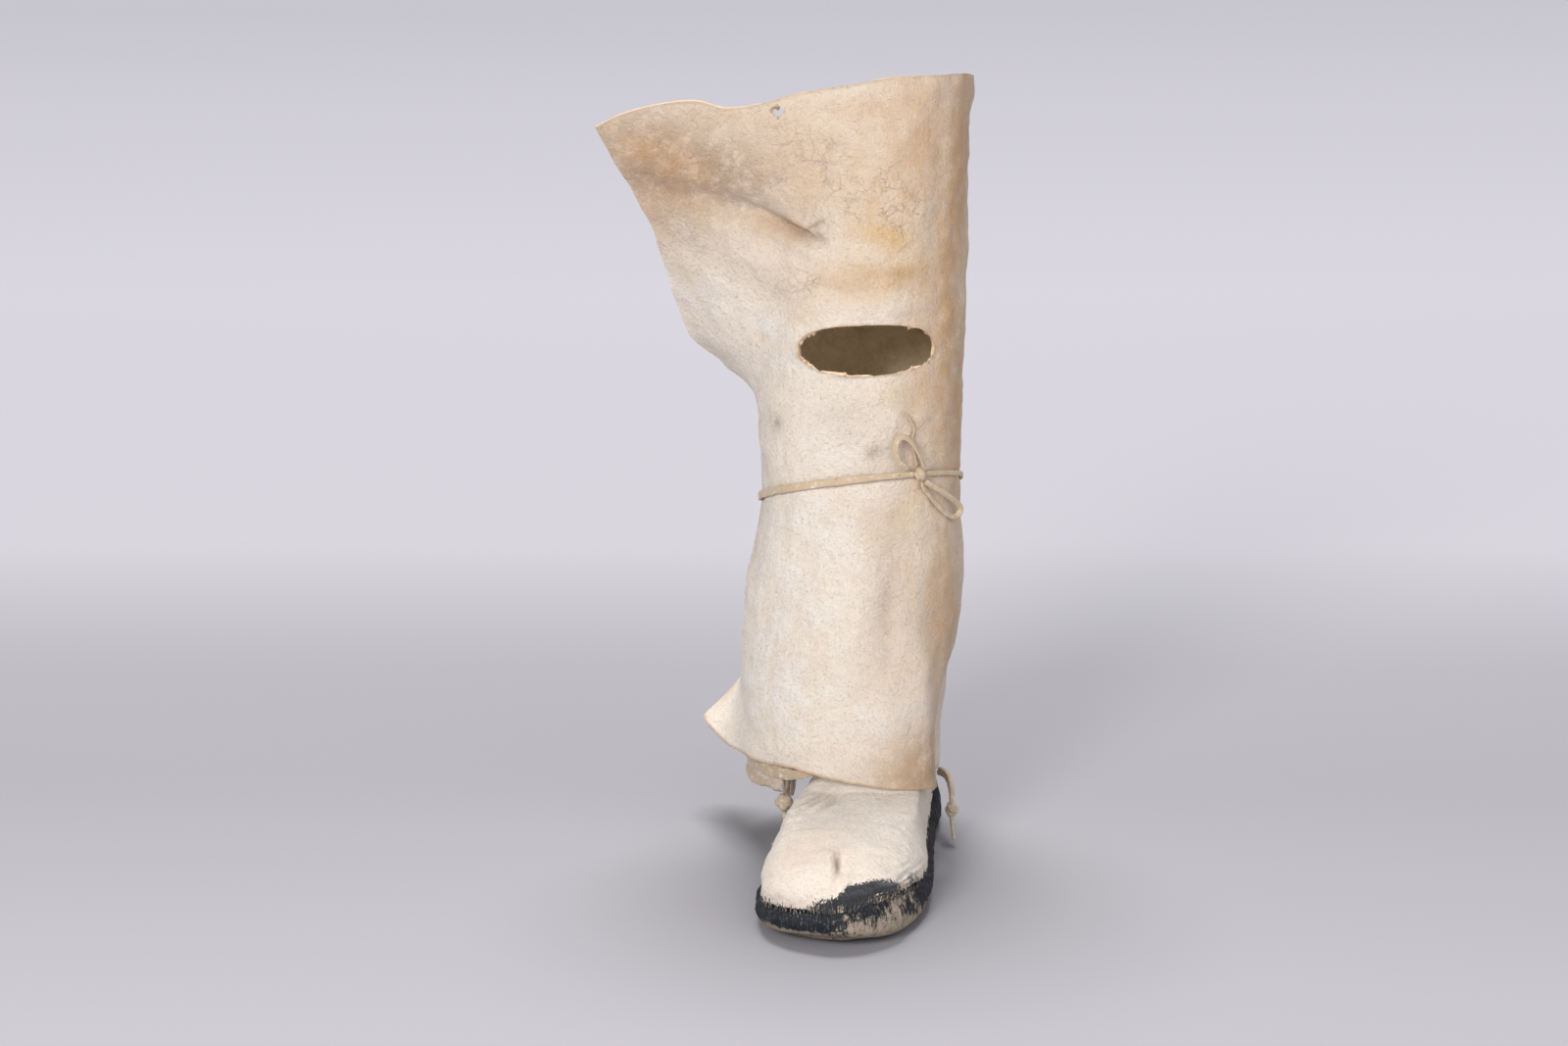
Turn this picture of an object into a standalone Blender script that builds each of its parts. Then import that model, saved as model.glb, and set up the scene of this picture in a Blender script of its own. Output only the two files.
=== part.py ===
"""Right-foot high-top moccasin: a cupped rawhide sole, a soft hide upper and a hide legging wrapped round the leg.

Metres, +Z up. The toe points to -Y and the big-toe side is +X. The origin is on the floor under the heel.
Angles round the leg are in degrees: 0 is the big-toe side, 90 the back, -90 the front and 180 the outer side.
"""

import math

import bpy
import numpy as np
from mathutils import Vector
from mathutils.bvhtree import BVHTree

GAP = 0.0003  # between two pieces that touch

# Foot and sole
FOOT_LENGTH = 0.254
BALL_WIDTH = 0.101
HEEL_BACK = 0.045  # how far the sole reaches behind the origin
SOLE_WALL = 0.003
RIM_HEIGHT = 0.015
RIM_LEAN = 0.0034  # how far the rim's top leans in over the foot
EDGE_ROUND = 0.011  # how far in from the edge the flat underside starts
EDGE_RISE = 0.0085  # height of the sole's widest line
TOE_SPRING = 0.007
SPRING_LENGTH = 0.050
ARCH_RISE = 0.002
ARCH_FRONT = -0.078
ARCH_BACK = -0.016

# The sole's edge, from the toe tip round the big-toe side and the heel to the outer side.
# along: share of the foot's length. across: share of the ball width. rim: share of the rim height.
SOLE_EDGE = [
    (0.000, 0.060, 1.00),
    (0.036, 0.280, 1.45),
    (0.125, 0.420, 1.60),
    (0.300, 0.485, 1.20),
    (0.520, 0.415, 1.10),
    (0.720, 0.355, 1.40),
    (0.870, 0.325, 2.05),
    (0.965, 0.205, 2.50),
    (1.000, 0.000, 2.60),
    (0.965, -0.205, 2.50),
    (0.870, -0.330, 2.05),
    (0.720, -0.375, 1.40),
    (0.520, -0.422, 1.10),
    (0.320, -0.475, 1.00),
    (0.135, -0.412, 0.95),
    (0.036, -0.240, 0.95),
]

# Upper
UPPER_HIDE = 0.0018
COLLAR_HEIGHT = 0.088
TUCK = 0.006  # how far the upper reaches down inside the sole's rim
SEAM_STEP = 0.0009  # how far the heel piece stands proud of the vamp at the side seams
SEAM_ROW = 4.55  # where the side seam is, counted in rows of the sole's edge from the toe
SEAM_HALF = 0.05
# Rings of the upper, from just above the rim to the collar.
# front, back: shares of the foot's length in from the toe tip and from the heel.
# ball, heel: shares of the sole's width. rise: share of the way from the rim to this row's heights.
# front_up, side_up, back_up: shares of the collar height.
UPPER_RINGS = [
    (0.014, 0.016, 0.935, 0.89, 0.10, 0.48, 0.46, 0.65),
    (0.017, 0.018, 0.935, 0.87, 0.30, 0.48, 0.46, 0.65),
    (0.040, 0.023, 0.885, 0.85, 0.60, 0.48, 0.46, 0.65),
    (0.098, 0.030, 0.805, 0.82, 0.88, 0.49, 0.47, 0.66),
    (0.190, 0.036, 0.725, 0.80, 1.00, 0.520, 0.52, 0.70),
    (0.300, 0.041, 0.655, 0.78, 1.00, 0.530, 0.56, 0.75),
    (0.405, 0.045, 0.605, 0.77, 1.00, 0.550, 0.62, 0.80),
    (0.500, 0.048, 0.590, 0.77, 1.00, 0.605, 0.71, 0.86),
    (0.560, 0.049, 0.605, 0.78, 1.00, 0.760, 0.86, 0.93),
    (0.590, 0.049, 0.615, 0.79, 1.00, 0.955, 0.97, 1.00),
]
SIDE_SHARE = 0.45  # where along a ring its side height is taken

# Legging: one hide wound once round the leg and lapped on its outer side
SHAFT_HEIGHT = 0.456
CALF_WIDTH = 0.118
LEG_HIDE = 0.0022
LAP_PITCH = 0.0034  # what one turn of the hide adds to its radius
INNER_EDGE = 186.0
# How the free edge runs. up: share of the hide's height. angle: degrees round the leg.
FREE_EDGE = [
    (0.00, -231.0),
    (0.15, -222.0),
    (0.40, -216.0),
    (0.80, -212.0),
    (0.89, -218.0),
    (1.00, -229.0),
]
# The tube. up: share of the shaft's height. The rest are shares of the calf width:
# middle_x, middle_y: its axis. half_x, half_y: its half widths.
TUBE = [
    (0.110, -0.150, -0.170, 0.515, 0.576),
    (0.220, -0.140, -0.161, 0.545, 0.559),
    (0.340, -0.110, -0.144, 0.540, 0.534),
    (0.465, -0.076, -0.127, 0.492, 0.500),
    (0.570, -0.076, -0.119, 0.500, 0.508),
    (0.680, -0.064, -0.110, 0.500, 0.508),
    (0.790, -0.051, -0.102, 0.496, 0.500),
    (1.000, -0.030, -0.093, 0.508, 0.500),
]
# The spread section at the hem. radius: share of the calf width. low: the hem's height, share of the shaft's.
HEM = [
    (-231.0, 0.525, 0.121),
    (-212.0, 0.525, 0.116),
    (-180.0, 0.525, 0.112),
    (-160.0, 0.534, 0.117),
    (-135.0, 0.559, 0.123),
    (-110.0, 0.576, 0.124),
    (-90.0, 0.593, 0.122),
    (-75.0, 0.615, 0.121),
    (-60.0, 0.660, 0.116),
    (-45.0, 0.655, 0.109),
    (-30.0, 0.560, 0.096),
    (0.0, 0.445, 0.079),
    (30.0, 0.535, 0.094),
    (60.0, 0.610, 0.103),
    (90.0, 0.588, 0.105),
    (120.0, 0.555, 0.105),
    (150.0, 0.534, 0.108),
    (186.0, 0.525, 0.115),
]
HEM_LEVEL = 0.060  # up to here the section is all hem, and a HEM_FADE higher it is all tube
HEM_FADE = 0.100
# The top edge. high: share of the shaft's height.
TOP_EDGE = [
    (-229.0, 0.938),
    (-215.0, 0.953),
    (-195.0, 0.966),
    (-175.0, 0.972),
    (-155.0, 0.962),
    (-140.0, 0.967),
    (-120.0, 0.980),
    (-90.0, 0.991),
    (-60.0, 1.000),
    (-20.0, 0.998),
    (0.0, 0.992),
    (30.0, 0.972),
    (60.0, 0.945),
    (90.0, 0.918),
    (135.0, 0.890),
    (186.0, 0.875),
]
# How the lapped side springs open. up: share of the shaft's height.
# angle: where it leaves the tube. open: 0 stays on the tube, 1 runs straight on.
OPENING = [
    (0.120, -140.0, 0.92),
    (0.270, -156.0, 0.30),
    (0.400, -160.0, 0.00),
    (0.550, -158.0, 0.00),
    (0.585, -153.0, 0.70),
    (0.610, -146.0, 1.00),
    (0.660, -128.0, 1.00),
    (0.776, -113.0, 1.00),
    (0.850, -103.0, 1.00),
    (0.900, -96.0, 1.00),
    (1.000, -88.0, 1.00),
]
OPENING_EASE = 24.0
LEG_COLUMNS = 48
LEG_ROWS = 22

# Window cut in the front of the legging
WINDOW_ANGLE = -77.0
WINDOW_MIDDLE_Z = 0.3035
WINDOW_WIDTH = 0.077
WINDOW_ABOVE = 0.0155
WINDOW_BELOW = 0.0130
WINDOW_SQUARENESS = 2.5
WINDOW_REACH = (0.034, 0.092)  # the cutter's span out from the leg's axis
# Worn hole near the top edge
WEAR_HOLE = (-0.0445, 0.4375)
WEAR_HOLE_SIZE = (0.0090, 0.0046)
WEAR_HOLE_REACH = (-0.125, -0.045)

# Folded inner flap that shows under the hem on the outer side: its centre line, from the leg side
# inward: share of the calf width from where it rests on the legging. up: share of the collar height.
FLAP_HIDE = 0.0018
FLAP_FOLDS = [
    (0.000, 0.92),
    (0.000, 0.60),
    (0.010, 0.51),
    (0.024, 0.52),
    (0.032, 0.62),
    (0.040, 0.72),
    (0.052, 0.72),
    (0.058, 0.60),
    (0.066, 0.47),
    (0.082, 0.46),
    (0.092, 0.58),
    (0.098, 0.70),
]
FLAP_FROM = -116.0
FLAP_TO = -171.0
FLAP_STATIONS = 14

# Thongs
THONG_WIDTH = 0.0046
THONG_THICKNESS = 0.0020
TIE_HEIGHT = 0.2146
TIE_SIDE_RISE = 0.0086  # the tie is this much higher on the big-toe side than on its axis
TIE_FRONT_RISE = 0.0160
TIE_STATIONS = 56
KNOT_ANGLE = -46.5
KNOT_SIZE = (0.0085, 0.0052, 0.0078)
KNOT_WAIST = 0.84  # share of a knot's width that is left where the thong draws it in
CORD_RADIUS = 0.0017
CORD_SIDES = 2  # bevel resolution
ANKLE_KNOT_RADIUS = 0.0052
ANKLE_KNOT_ANGLE = -123.0
TAIL_KNOT_RADIUS = 0.0040

WHITE_HIDE = (0.80, 0.74, 0.65)
FOOT_HIDE = (0.83, 0.77, 0.70)
BLACK_RAWHIDE = (0.035, 0.037, 0.042)
THONG_TAN = (0.66, 0.54, 0.38)


def smooth(table_x, table_y, x):
    """A curve through the table's points that rises and falls only where they do."""
    tx = np.asarray(table_x, float)
    ty = np.asarray(table_y, float)
    step = np.diff(tx)
    slope = np.diff(ty) / step
    tangent = np.zeros(len(tx))
    tangent[0], tangent[-1] = slope[0], slope[-1]
    for i in range(1, len(tx) - 1):
        if slope[i - 1] * slope[i] > 0:
            before, after = 2 * step[i] + step[i - 1], step[i] + 2 * step[i - 1]
            tangent[i] = (before + after) / (before / slope[i - 1] + after / slope[i])
    x = np.clip(np.asarray(x, float), tx[0], tx[-1])
    i = np.clip(np.searchsorted(tx, x, side="right") - 1, 0, len(tx) - 2)
    t = (x - tx[i]) / step[i]
    return (
        (2 * t**3 - 3 * t**2 + 1) * ty[i]
        + (t**3 - 2 * t**2 + t) * step[i] * tangent[i]
        + (3 * t**2 - 2 * t**3) * ty[i + 1]
        + (t**3 - t**2) * step[i] * tangent[i + 1]
    )


def ease(x):
    x = np.clip(x, 0.0, 1.0)
    return x * x * (3 - 2 * x)


def column(table, n):
    return [row[n] for row in table]


def sole_edge(t):
    """Along, across and rim of the sole's edge at t, counted in rows of its table, as a closed smooth curve."""
    rows = np.array(SOLE_EDGE)
    count = len(rows)
    k = np.floor(t).astype(int)
    f = (t - k)[:, None]
    before, here, after, beyond = (rows[(k + n) % count] for n in (-1, 0, 1, 2))
    return 0.5 * (
        2 * here
        + (after - before) * f
        + (2 * before - 5 * here + 4 * after - beyond) * f**2
        + (3 * here - before - 3 * after + beyond) * f**3
    )


def plan(along, across):
    """The point of the plan at these shares of length and ball width."""
    return np.stack([across * BALL_WIDTH, HEEL_BACK - FOOT_LENGTH * (1 - along)], axis=-1)


def ground(y):
    """Height of the sole's underside: toe spring, a flat forefoot, a low arch and a flat heel."""
    toe = HEEL_BACK - FOOT_LENGTH
    spring = np.clip((toe + SPRING_LENGTH - y) / SPRING_LENGTH, 0, 1)
    arch = np.clip((y - ARCH_FRONT) / (ARCH_BACK - ARCH_FRONT), 0, 1)
    return TOE_SPRING * spring**2 + ARCH_RISE * np.sin(math.pi * arch) ** 2


def edge_frame(t):
    """Plan points of the sole's edge, their outward normals and the rim's height."""
    here = sole_edge(t)
    points = plan(here[:, 0], here[:, 1])
    a, b = sole_edge(t - 0.02), sole_edge(t + 0.02)
    run = plan(b[:, 0], b[:, 1]) - plan(a[:, 0], a[:, 1])
    run /= np.linalg.norm(run, axis=1)[:, None]
    return points, np.stack([run[:, 1], -run[:, 0]], axis=-1), here[:, 2] * RIM_HEIGHT


def sole_profile(rim, wall):
    """Insets and heights up the side of the sole, wall deep inside its outer face, for each rim height."""
    lean = RIM_LEAN * (0.5 + 0.5 * rim / RIM_HEIGHT)
    outer = [
        (EDGE_ROUND * (1 - math.sin(a)) + 0 * rim, EDGE_RISE * (1 - math.cos(a)) + 0 * rim)
        for a in np.radians([0, 28, 52, 74, 90])
    ]
    outer += [(lean * s * s, EDGE_RISE + (rim - EDGE_RISE) * s) for s in (0.35, 0.7, 1.0)]
    inset = np.array([p[0] for p in outer])
    up = np.array([p[1] for p in outer])
    d_inset, d_up = np.gradient(inset, axis=0), np.gradient(up, axis=0)
    d_up[0] = 0
    size = np.hypot(d_inset, d_up)
    inset = inset + wall * d_up / size
    up = up - wall * d_inset / size
    up[-1] = rim
    return inset, up


def ring(points, z):
    return [(x, y, h) for (x, y), h in zip(points, z)]


def bridge(rings, closed=True):
    """Faces between each ring of points and the next, numbered ring after ring."""
    count = len(rings[0])
    faces = []
    for r in range(len(rings) - 1):
        for i in range(count if closed else count - 1):
            j = (i + 1) % count
            faces.append((r * count + i, r * count + j, (r + 1) * count + j, (r + 1) * count + i))
    return faces


def fill_floor(points, first, count, height, up):
    """Closes a foot-shaped ring with rows of points across it. The ring is numbered from first."""
    shares = (0.25, 0.5, 0.75)
    half = count // 2
    ring_points = points[first : first + count]
    rows = [[first]]
    for i in range(1, half):
        near, far = first + i, first + count - i
        row = [near]
        for s in shares:
            x = ring_points[i][0] * (1 - s) + ring_points[count - i][0] * s
            y = ring_points[i][1] * (1 - s) + ring_points[count - i][1] * s
            points.append((x, y, height + float(ground(y))))
            row.append(len(points) - 1)
        rows.append(row + [far])
    rows.append([first + half])
    faces = []
    for here, after in zip(rows, rows[1:]):
        if len(here) == 1:
            faces += [(here[0], after[k + 1], after[k]) for k in range(len(after) - 1)]
        elif len(after) == 1:
            faces += [(here[k], here[k + 1], after[0]) for k in range(len(here) - 1)]
        else:
            faces += [
                (here[k], here[k + 1], after[k + 1], after[k]) for k in range(len(here) - 1)
            ]
    return [tuple(reversed(f)) for f in faces] if up else faces


def material(name, colour, roughness):
    made = bpy.data.materials.new(name)
    made.use_nodes = True
    shader = made.node_tree.nodes["Principled BSDF"]
    shader.inputs["Base Color"].default_value = (*colour, 1)
    shader.inputs["Roughness"].default_value = roughness
    shader.inputs["Metallic"].default_value = 0.0
    return made


def mesh_object(name, points, faces, finish):
    mesh = bpy.data.meshes.new(name)
    mesh.from_pydata([tuple(map(float, p)) for p in points], [], faces)
    mesh.validate()
    mesh.update()
    mesh.shade_smooth()
    made = bpy.data.objects.new(name, mesh)
    made.data.materials.append(finish)
    bpy.context.scene.collection.objects.link(made)
    return made


def give_thickness(obj, thickness):
    """A wall that grows inwards from the modelled outer face."""
    wall = obj.modifiers.new("wall", "SOLIDIFY")
    wall.thickness = thickness
    wall.offset = -1
    wall.use_even_offset = True
    return obj


def cut(obj, cutter):
    cutter.hide_render = True
    cutter.display_type = "WIRE"
    made = obj.modifiers.new("cut_" + cutter.name, "BOOLEAN")
    made.operation = "DIFFERENCE"
    made.object = cutter


def build_sole(finish):
    count = 56
    t = np.arange(count) * len(SOLE_EDGE) / count
    edge, out, rim = edge_frame(t)
    rings = []
    for wall in (0.0, SOLE_WALL):
        insets, ups = sole_profile(rim, wall)
        side = [
            ring(edge - out * inset[:, None], up + ground(edge[:, 1]))
            for inset, up in zip(insets, ups)
        ]
        rings += side if wall == 0 else side[::-1]
    points = [p for one in rings for p in one]
    faces = bridge(rings)
    faces += fill_floor(points, 0, count, 0.0, up=False)
    faces += fill_floor(points, (len(rings) - 1) * count, count, SOLE_WALL, up=True)
    return mesh_object("sole", points, faces, finish)


def upper_rings(t):
    """The upper's outer face as rings round the foot, from inside the sole's rim to the collar."""
    edge, out, rim = edge_frame(t)
    along, across, _ = sole_edge(t).T
    lift = ground(edge[:, 1])
    lean = RIM_LEAN * (0.5 + 0.5 * rim / RIM_HEIGHT)
    seat = lean + SOLE_WALL + 1.6 * GAP
    tucked = seat - (TUCK / rim) * 0.6 * lean
    rings = [
        ring(edge - out * np.maximum(tucked, SOLE_WALL + 2 * GAP)[:, None], rim - TUCK + lift),
        ring(edge - out * seat[:, None], rim + lift),
    ]
    seam_t = np.minimum(t, len(SOLE_EDGE) - t)
    proud = SEAM_STEP * ease((seam_t - SEAM_ROW + SEAM_HALF) / (2 * SEAM_HALF))
    for front, back, ball, heel, rise, front_up, side_up, back_up in UPPER_RINGS:
        share = front + (1 - front - back) * along
        width = ball + (heel - ball) * ease(along)
        points = plan(share, across * width)
        high = COLLAR_HEIGHT * smooth((0, SIDE_SHARE, 1), (front_up, side_up, back_up), along)
        z = rim + (high - rim) * rise + lift * (1 - rise)
        rings.append(ring(points + out * proud[:, None], z))
    return rings


def build_upper(finish):
    count = 46
    row = len(SOLE_EDGE) / count
    t = [i * row for i in range(count)]
    seams = [SEAM_ROW, len(SOLE_EDGE) - SEAM_ROW]
    t = [v for v in t if min(abs(v - s) for s in seams) > 2.2 * SEAM_HALF]
    t += [s + side * SEAM_HALF for s in seams for side in (-1, 1)]
    rings = upper_rings(np.array(sorted(t)))
    points = [p for one in rings for p in one]
    return give_thickness(mesh_object("upper", points, bridge(rings), finish), UPPER_HIDE)


def tube(angle, z, offset):
    """Plan point of the legging's outer face where it lies on the leg, offset outwards."""
    up = z / SHAFT_HEIGHT
    heights = column(TUBE, 0)
    cx, cy, rx, ry = (CALF_WIDTH * smooth(heights, column(TUBE, n), up) for n in (1, 2, 3, 4))
    a = np.radians(angle)
    around = rx * ry / np.hypot(ry * np.cos(a), rx * np.sin(a))
    spread = CALF_WIDTH * smooth(column(HEM, 0), column(HEM, 1), angle)
    hem = 1 - ease((z - HEM_LEVEL) / HEM_FADE)
    r = around + (spread - around) * hem + offset
    return np.stack([cx + r * np.cos(a), cy + r * np.sin(a)], axis=-1)


def lap_offset(angle):
    """How far the wound hide lies outside its middle radius: most at the free edge."""
    return LAP_PITCH * (0.5 - (angle - FREE_EDGE[2][1]) / 360)


def leg_plan(angle, z):
    """Plan points of the legging's outer face at these angles and heights, with its sprung-open side."""
    angle, z = np.broadcast_arrays(np.asarray(angle, float), np.asarray(z, float))
    up = z / SHAFT_HEIGHT
    leave = smooth(column(OPENING, 0), column(OPENING, 1), up)
    open_share = smooth(column(OPENING, 0), column(OPENING, 2), up)
    start = np.maximum(angle, leave)
    here = tube(start, z, lap_offset(start))
    steps = 24
    first_heading = None
    for k in range(steps):
        a = start + (angle - start) * (k + 0.5) / steps
        half = (start - angle) / steps / 2
        run = tube(a - half, z, lap_offset(a - half)) - tube(a + half, z, lap_offset(a + half))
        near = start - 0.5
        first = tube(near, z, lap_offset(near)) - tube(start, z, lap_offset(start))
        if first_heading is None:
            first_heading = np.arctan2(first[..., 1], first[..., 0])
        length = np.hypot(run[..., 0], run[..., 1])
        turn = np.arctan2(run[..., 1], run[..., 0]) - first_heading
        turn = -np.mod(-turn, 2 * math.pi)
        turn = np.where(turn < -1.75 * math.pi, 0.0, turn)
        kept = 1 - open_share * ease((start - a) / OPENING_EASE)
        heading = first_heading + turn * kept
        here = here + length[..., None] * np.stack([np.cos(heading), np.sin(heading)], axis=-1)
    return here


def leg_bounds(angle, lift):
    """Heights of the hem and of the top edge at these angles."""
    low = SHAFT_HEIGHT * smooth(column(HEM, 0), column(HEM, 2), angle) + lift
    high = SHAFT_HEIGHT * smooth(column(TOP_EDGE, 0), column(TOP_EDGE, 1), angle)
    return low, high


def leg_grid(across, up, lift):
    """Points of the legging's outer face. across runs from the inner edge to the free edge, up from hem to top."""
    share, height = np.meshgrid(across, up)
    free = smooth(column(FREE_EDGE, 0), column(FREE_EDGE, 1), height)
    angle = INNER_EDGE + (free - INNER_EDGE) * share
    low, high = leg_bounds(angle, lift)
    z = low + (high - low) * height
    return np.concatenate([leg_plan(angle, z), z[..., None]], axis=-1)


def seat_on_upper(upper):
    """How much the hem has to rise or drop so that it just clears the instep."""
    graph = bpy.context.evaluated_depsgraph_get()
    surface = BVHTree.FromObject(upper, graph)
    lift = -SHAFT_HEIGHT
    for angle in np.linspace(-150, 0, 61):
        low, _ = leg_bounds(angle, 0.0)
        for inside in (0.0, LEG_HIDE):
            x, y = tube(angle, low, lap_offset(angle) - inside)
            hit, _, _, _ = surface.ray_cast(Vector((x, y, SHAFT_HEIGHT)), Vector((0, 0, -1)))
            if hit is not None:
                lift = max(lift, hit.z + 2 * GAP - float(low))
    return lift


def prism(name, outline, axis_x, axis_y, near, far):
    """A cutter: an outline in the plane of two axes, pushed along their normal from near to far."""
    x, y = Vector(axis_x), Vector(axis_y)
    along = x.cross(y)
    points = [x * u + y * v + along * d for d in (near, far) for u, v in outline]
    count = len(outline)
    faces = [(i, (i + 1) % count, count + (i + 1) % count, count + i) for i in range(count)]
    faces += [tuple(reversed(range(count))), tuple(range(count, 2 * count))]
    return mesh_object(name, points, faces, bpy.data.materials["leg_hide"])


def oval(width, above, below, squareness, sides):
    points = []
    for i in range(sides):
        a = 2 * math.pi * i / sides
        c, s = math.cos(a), math.sin(a)
        u = math.copysign(abs(c) ** (2 / squareness), c) * width / 2
        v = math.copysign(abs(s) ** (2 / squareness), s) * (above if s > 0 else below)
        points.append((u, v))
    return points


def build_legging(finish, lift):
    grid = leg_grid(np.linspace(0, 1, LEG_COLUMNS + 1), np.linspace(0, 1, LEG_ROWS + 1), lift)
    rings = [[tuple(p) for p in row] for row in grid]
    points = [p for one in rings for p in one]
    faces = [tuple(reversed(f)) for f in bridge(rings, closed=False)]
    legging = give_thickness(mesh_object("legging", points, faces, finish), LEG_HIDE)
    side = math.radians(WINDOW_ANGLE)
    out = Vector((math.cos(side), math.sin(side), 0))
    up = Vector((0, 0, 1))
    window = oval(WINDOW_WIDTH, WINDOW_ABOVE, WINDOW_BELOW, WINDOW_SQUARENESS, 28)
    cutter = prism("window_cutter", window, up.cross(out), up, *WINDOW_REACH)
    middle = CALF_WIDTH * smooth(column(TUBE, 0), column(TUBE, 1), WINDOW_MIDDLE_Z / SHAFT_HEIGHT)
    depth = CALF_WIDTH * smooth(column(TUBE, 0), column(TUBE, 2), WINDOW_MIDDLE_Z / SHAFT_HEIGHT)
    cutter.location = (middle, depth, WINDOW_MIDDLE_Z)
    cut(legging, cutter)
    width, height = WEAR_HOLE_SIZE
    hole = prism(
        "wear_cutter",
        oval(width, height / 2, height / 2, 2.0, 10),
        (-1, 0, 0),
        (0, 0, 1),
        *WEAR_HOLE_REACH,
    )
    hole.location = (WEAR_HOLE[0], 0, WEAR_HOLE[1])
    cut(legging, hole)
    return legging


def leg_radius(angle, z, inside):
    """Distance of the legging from its axis, and the axis."""
    up = z / SHAFT_HEIGHT
    axis = np.array([CALF_WIDTH * smooth(column(TUBE, 0), column(TUBE, n), up) for n in (1, 2)])
    return np.linalg.norm(tube(angle, z, lap_offset(angle) - inside) - axis), axis


def build_flap(finish):
    """A hide flap folded in layers, hung inside the legging on its outer side."""
    line = np.array([(CALF_WIDTH * a, COLLAR_HEIGHT * b) for a, b in FLAP_FOLDS])
    run = np.gradient(line, axis=0)
    run /= np.linalg.norm(run, axis=1)[:, None]
    side = np.stack([run[:, 1], -run[:, 0]], axis=-1) * FLAP_HIDE / 2
    outline = np.concatenate([line + side, (line - side)[::-1]])
    rings = []
    for angle in np.linspace(FLAP_FROM, FLAP_TO, FLAP_STATIONS):
        one = []
        for inward, z in outline:
            r, axis = leg_radius(angle, z, LEG_HIDE)
            a = math.radians(angle)
            r -= 1.5 * GAP + FLAP_HIDE / 2 + inward
            one.append((axis[0] + r * math.cos(a), axis[1] + r * math.sin(a), z))
        rings.append(one)
    points = [p for one in rings for p in one]
    count = len(outline)
    faces = bridge(rings)
    half = count // 2
    for first, flip in ((0, True), ((len(rings) - 1) * count, False)):
        for i in range(half - 1):
            cap = (first + i, first + i + 1, first + count - 2 - i, first + count - 1 - i)
            faces.append(tuple(reversed(cap)) if flip else cap)
    return mesh_object("inner_flap", points, [tuple(reversed(f)) for f in faces], finish)


def tie_offset(angle):
    """The tie lies on the outermost turn, and eases down from the free edge onto the turn below."""
    free = FREE_EDGE[2][1]
    wound = (angle - free) % 360
    over_edge = 1 - ease((360 - wound) / 50.0)
    return lap_offset(free + wound) + LAP_PITCH * over_edge


def tie_point(angle, out):
    a = math.radians(angle)
    z = TIE_HEIGHT + TIE_SIDE_RISE * math.cos(a) - TIE_FRONT_RISE * math.sin(a)
    x, y = tube(np.mod(angle + 222.0, 360.0) - 222.0, z, tie_offset(angle) + out)
    return Vector((float(x), float(y), z))


def build_tie(finish):
    """The calf tie: a flat thong round the legging, open where its knot sits."""
    half_knot = math.degrees((KNOT_WAIST * KNOT_SIZE[0] / 2 + GAP) / (CALF_WIDTH / 2))
    start, end = KNOT_ANGLE + half_knot, KNOT_ANGLE - half_knot + 360
    profile = [(-1.0, 0.25), (-0.55, 0.0), (0.55, 0.0), (1.0, 0.25), (0.6, 1.0), (-0.6, 1.0)]
    rings = []
    for angle in np.linspace(start, end, TIE_STATIONS):
        one = []
        for high, out in profile:
            p = tie_point(angle, 2.4 * GAP + THONG_THICKNESS * out)
            p.z += high * THONG_WIDTH / 2
            one.append(tuple(p))
        rings.append(one)
    points = [p for one in rings for p in one]
    faces = bridge(rings)
    count = len(profile)
    faces.append(tuple(reversed(range(count))))
    faces.append(tuple(range((len(rings) - 1) * count, len(rings) * count)))
    return mesh_object("calf_tie", points, faces, finish)


def ball(name, middle, radii, finish, turn=0.0):
    """A small knot: a rounded body with a waist where the thong is drawn in."""
    rows, sides = 7, 10
    points = [(0, 0, radii[2])]
    for i in range(1, rows):
        a = math.pi * i / rows
        waist = 1 - (1 - KNOT_WAIST) * math.exp(-(((a - math.pi / 2) / 0.35) ** 2))
        for j in range(sides):
            b = 2 * math.pi * j / sides
            r = math.sin(a) * waist
            points.append((radii[0] * r * math.cos(b), radii[1] * r * math.sin(b), radii[2] * math.cos(a)))
    points.append((0, 0, -radii[2]))
    faces = [(0, 1 + j, 1 + (j + 1) % sides) for j in range(sides)]
    for i in range(rows - 2):
        for j in range(sides):
            k = (j + 1) % sides
            a, b = 1 + i * sides, 1 + (i + 1) * sides
            faces.append((a + j, b + j, b + k, a + k))
    last = 1 + (rows - 2) * sides
    faces += [(last + j, len(points) - 1, last + (j + 1) % sides) for j in range(sides)]
    made = mesh_object(name, points, faces, finish)
    made.location = middle
    made.rotation_euler = (0, 0, turn)
    return made


def through(points, count):
    """Evenly spread points of the smooth curve through a cord's own points."""
    p = [Vector(v) for v in points]
    p = [2 * p[0] - p[1], *p, 2 * p[-1] - p[-2]]
    fine = []
    for k in range(1, len(p) - 2):
        for i in range(12):
            f = i / 12
            fine.append(
                0.5
                * (
                    2 * p[k]
                    + (p[k + 1] - p[k - 1]) * f
                    + (2 * p[k - 1] - 5 * p[k] + 4 * p[k + 1] - p[k + 2]) * f**2
                    + (3 * p[k] - p[k - 1] - 3 * p[k + 1] + p[k + 2]) * f**3
                )
            )
    fine.append(p[-2])
    run = np.cumsum([0] + [(b - a).length for a, b in zip(fine, fine[1:])])
    at = np.linspace(0, run[-1], count)
    fine = np.array(fine)
    return [tuple(np.interp(s, run, fine[:, n]) for n in range(3)) for s in at]


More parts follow.
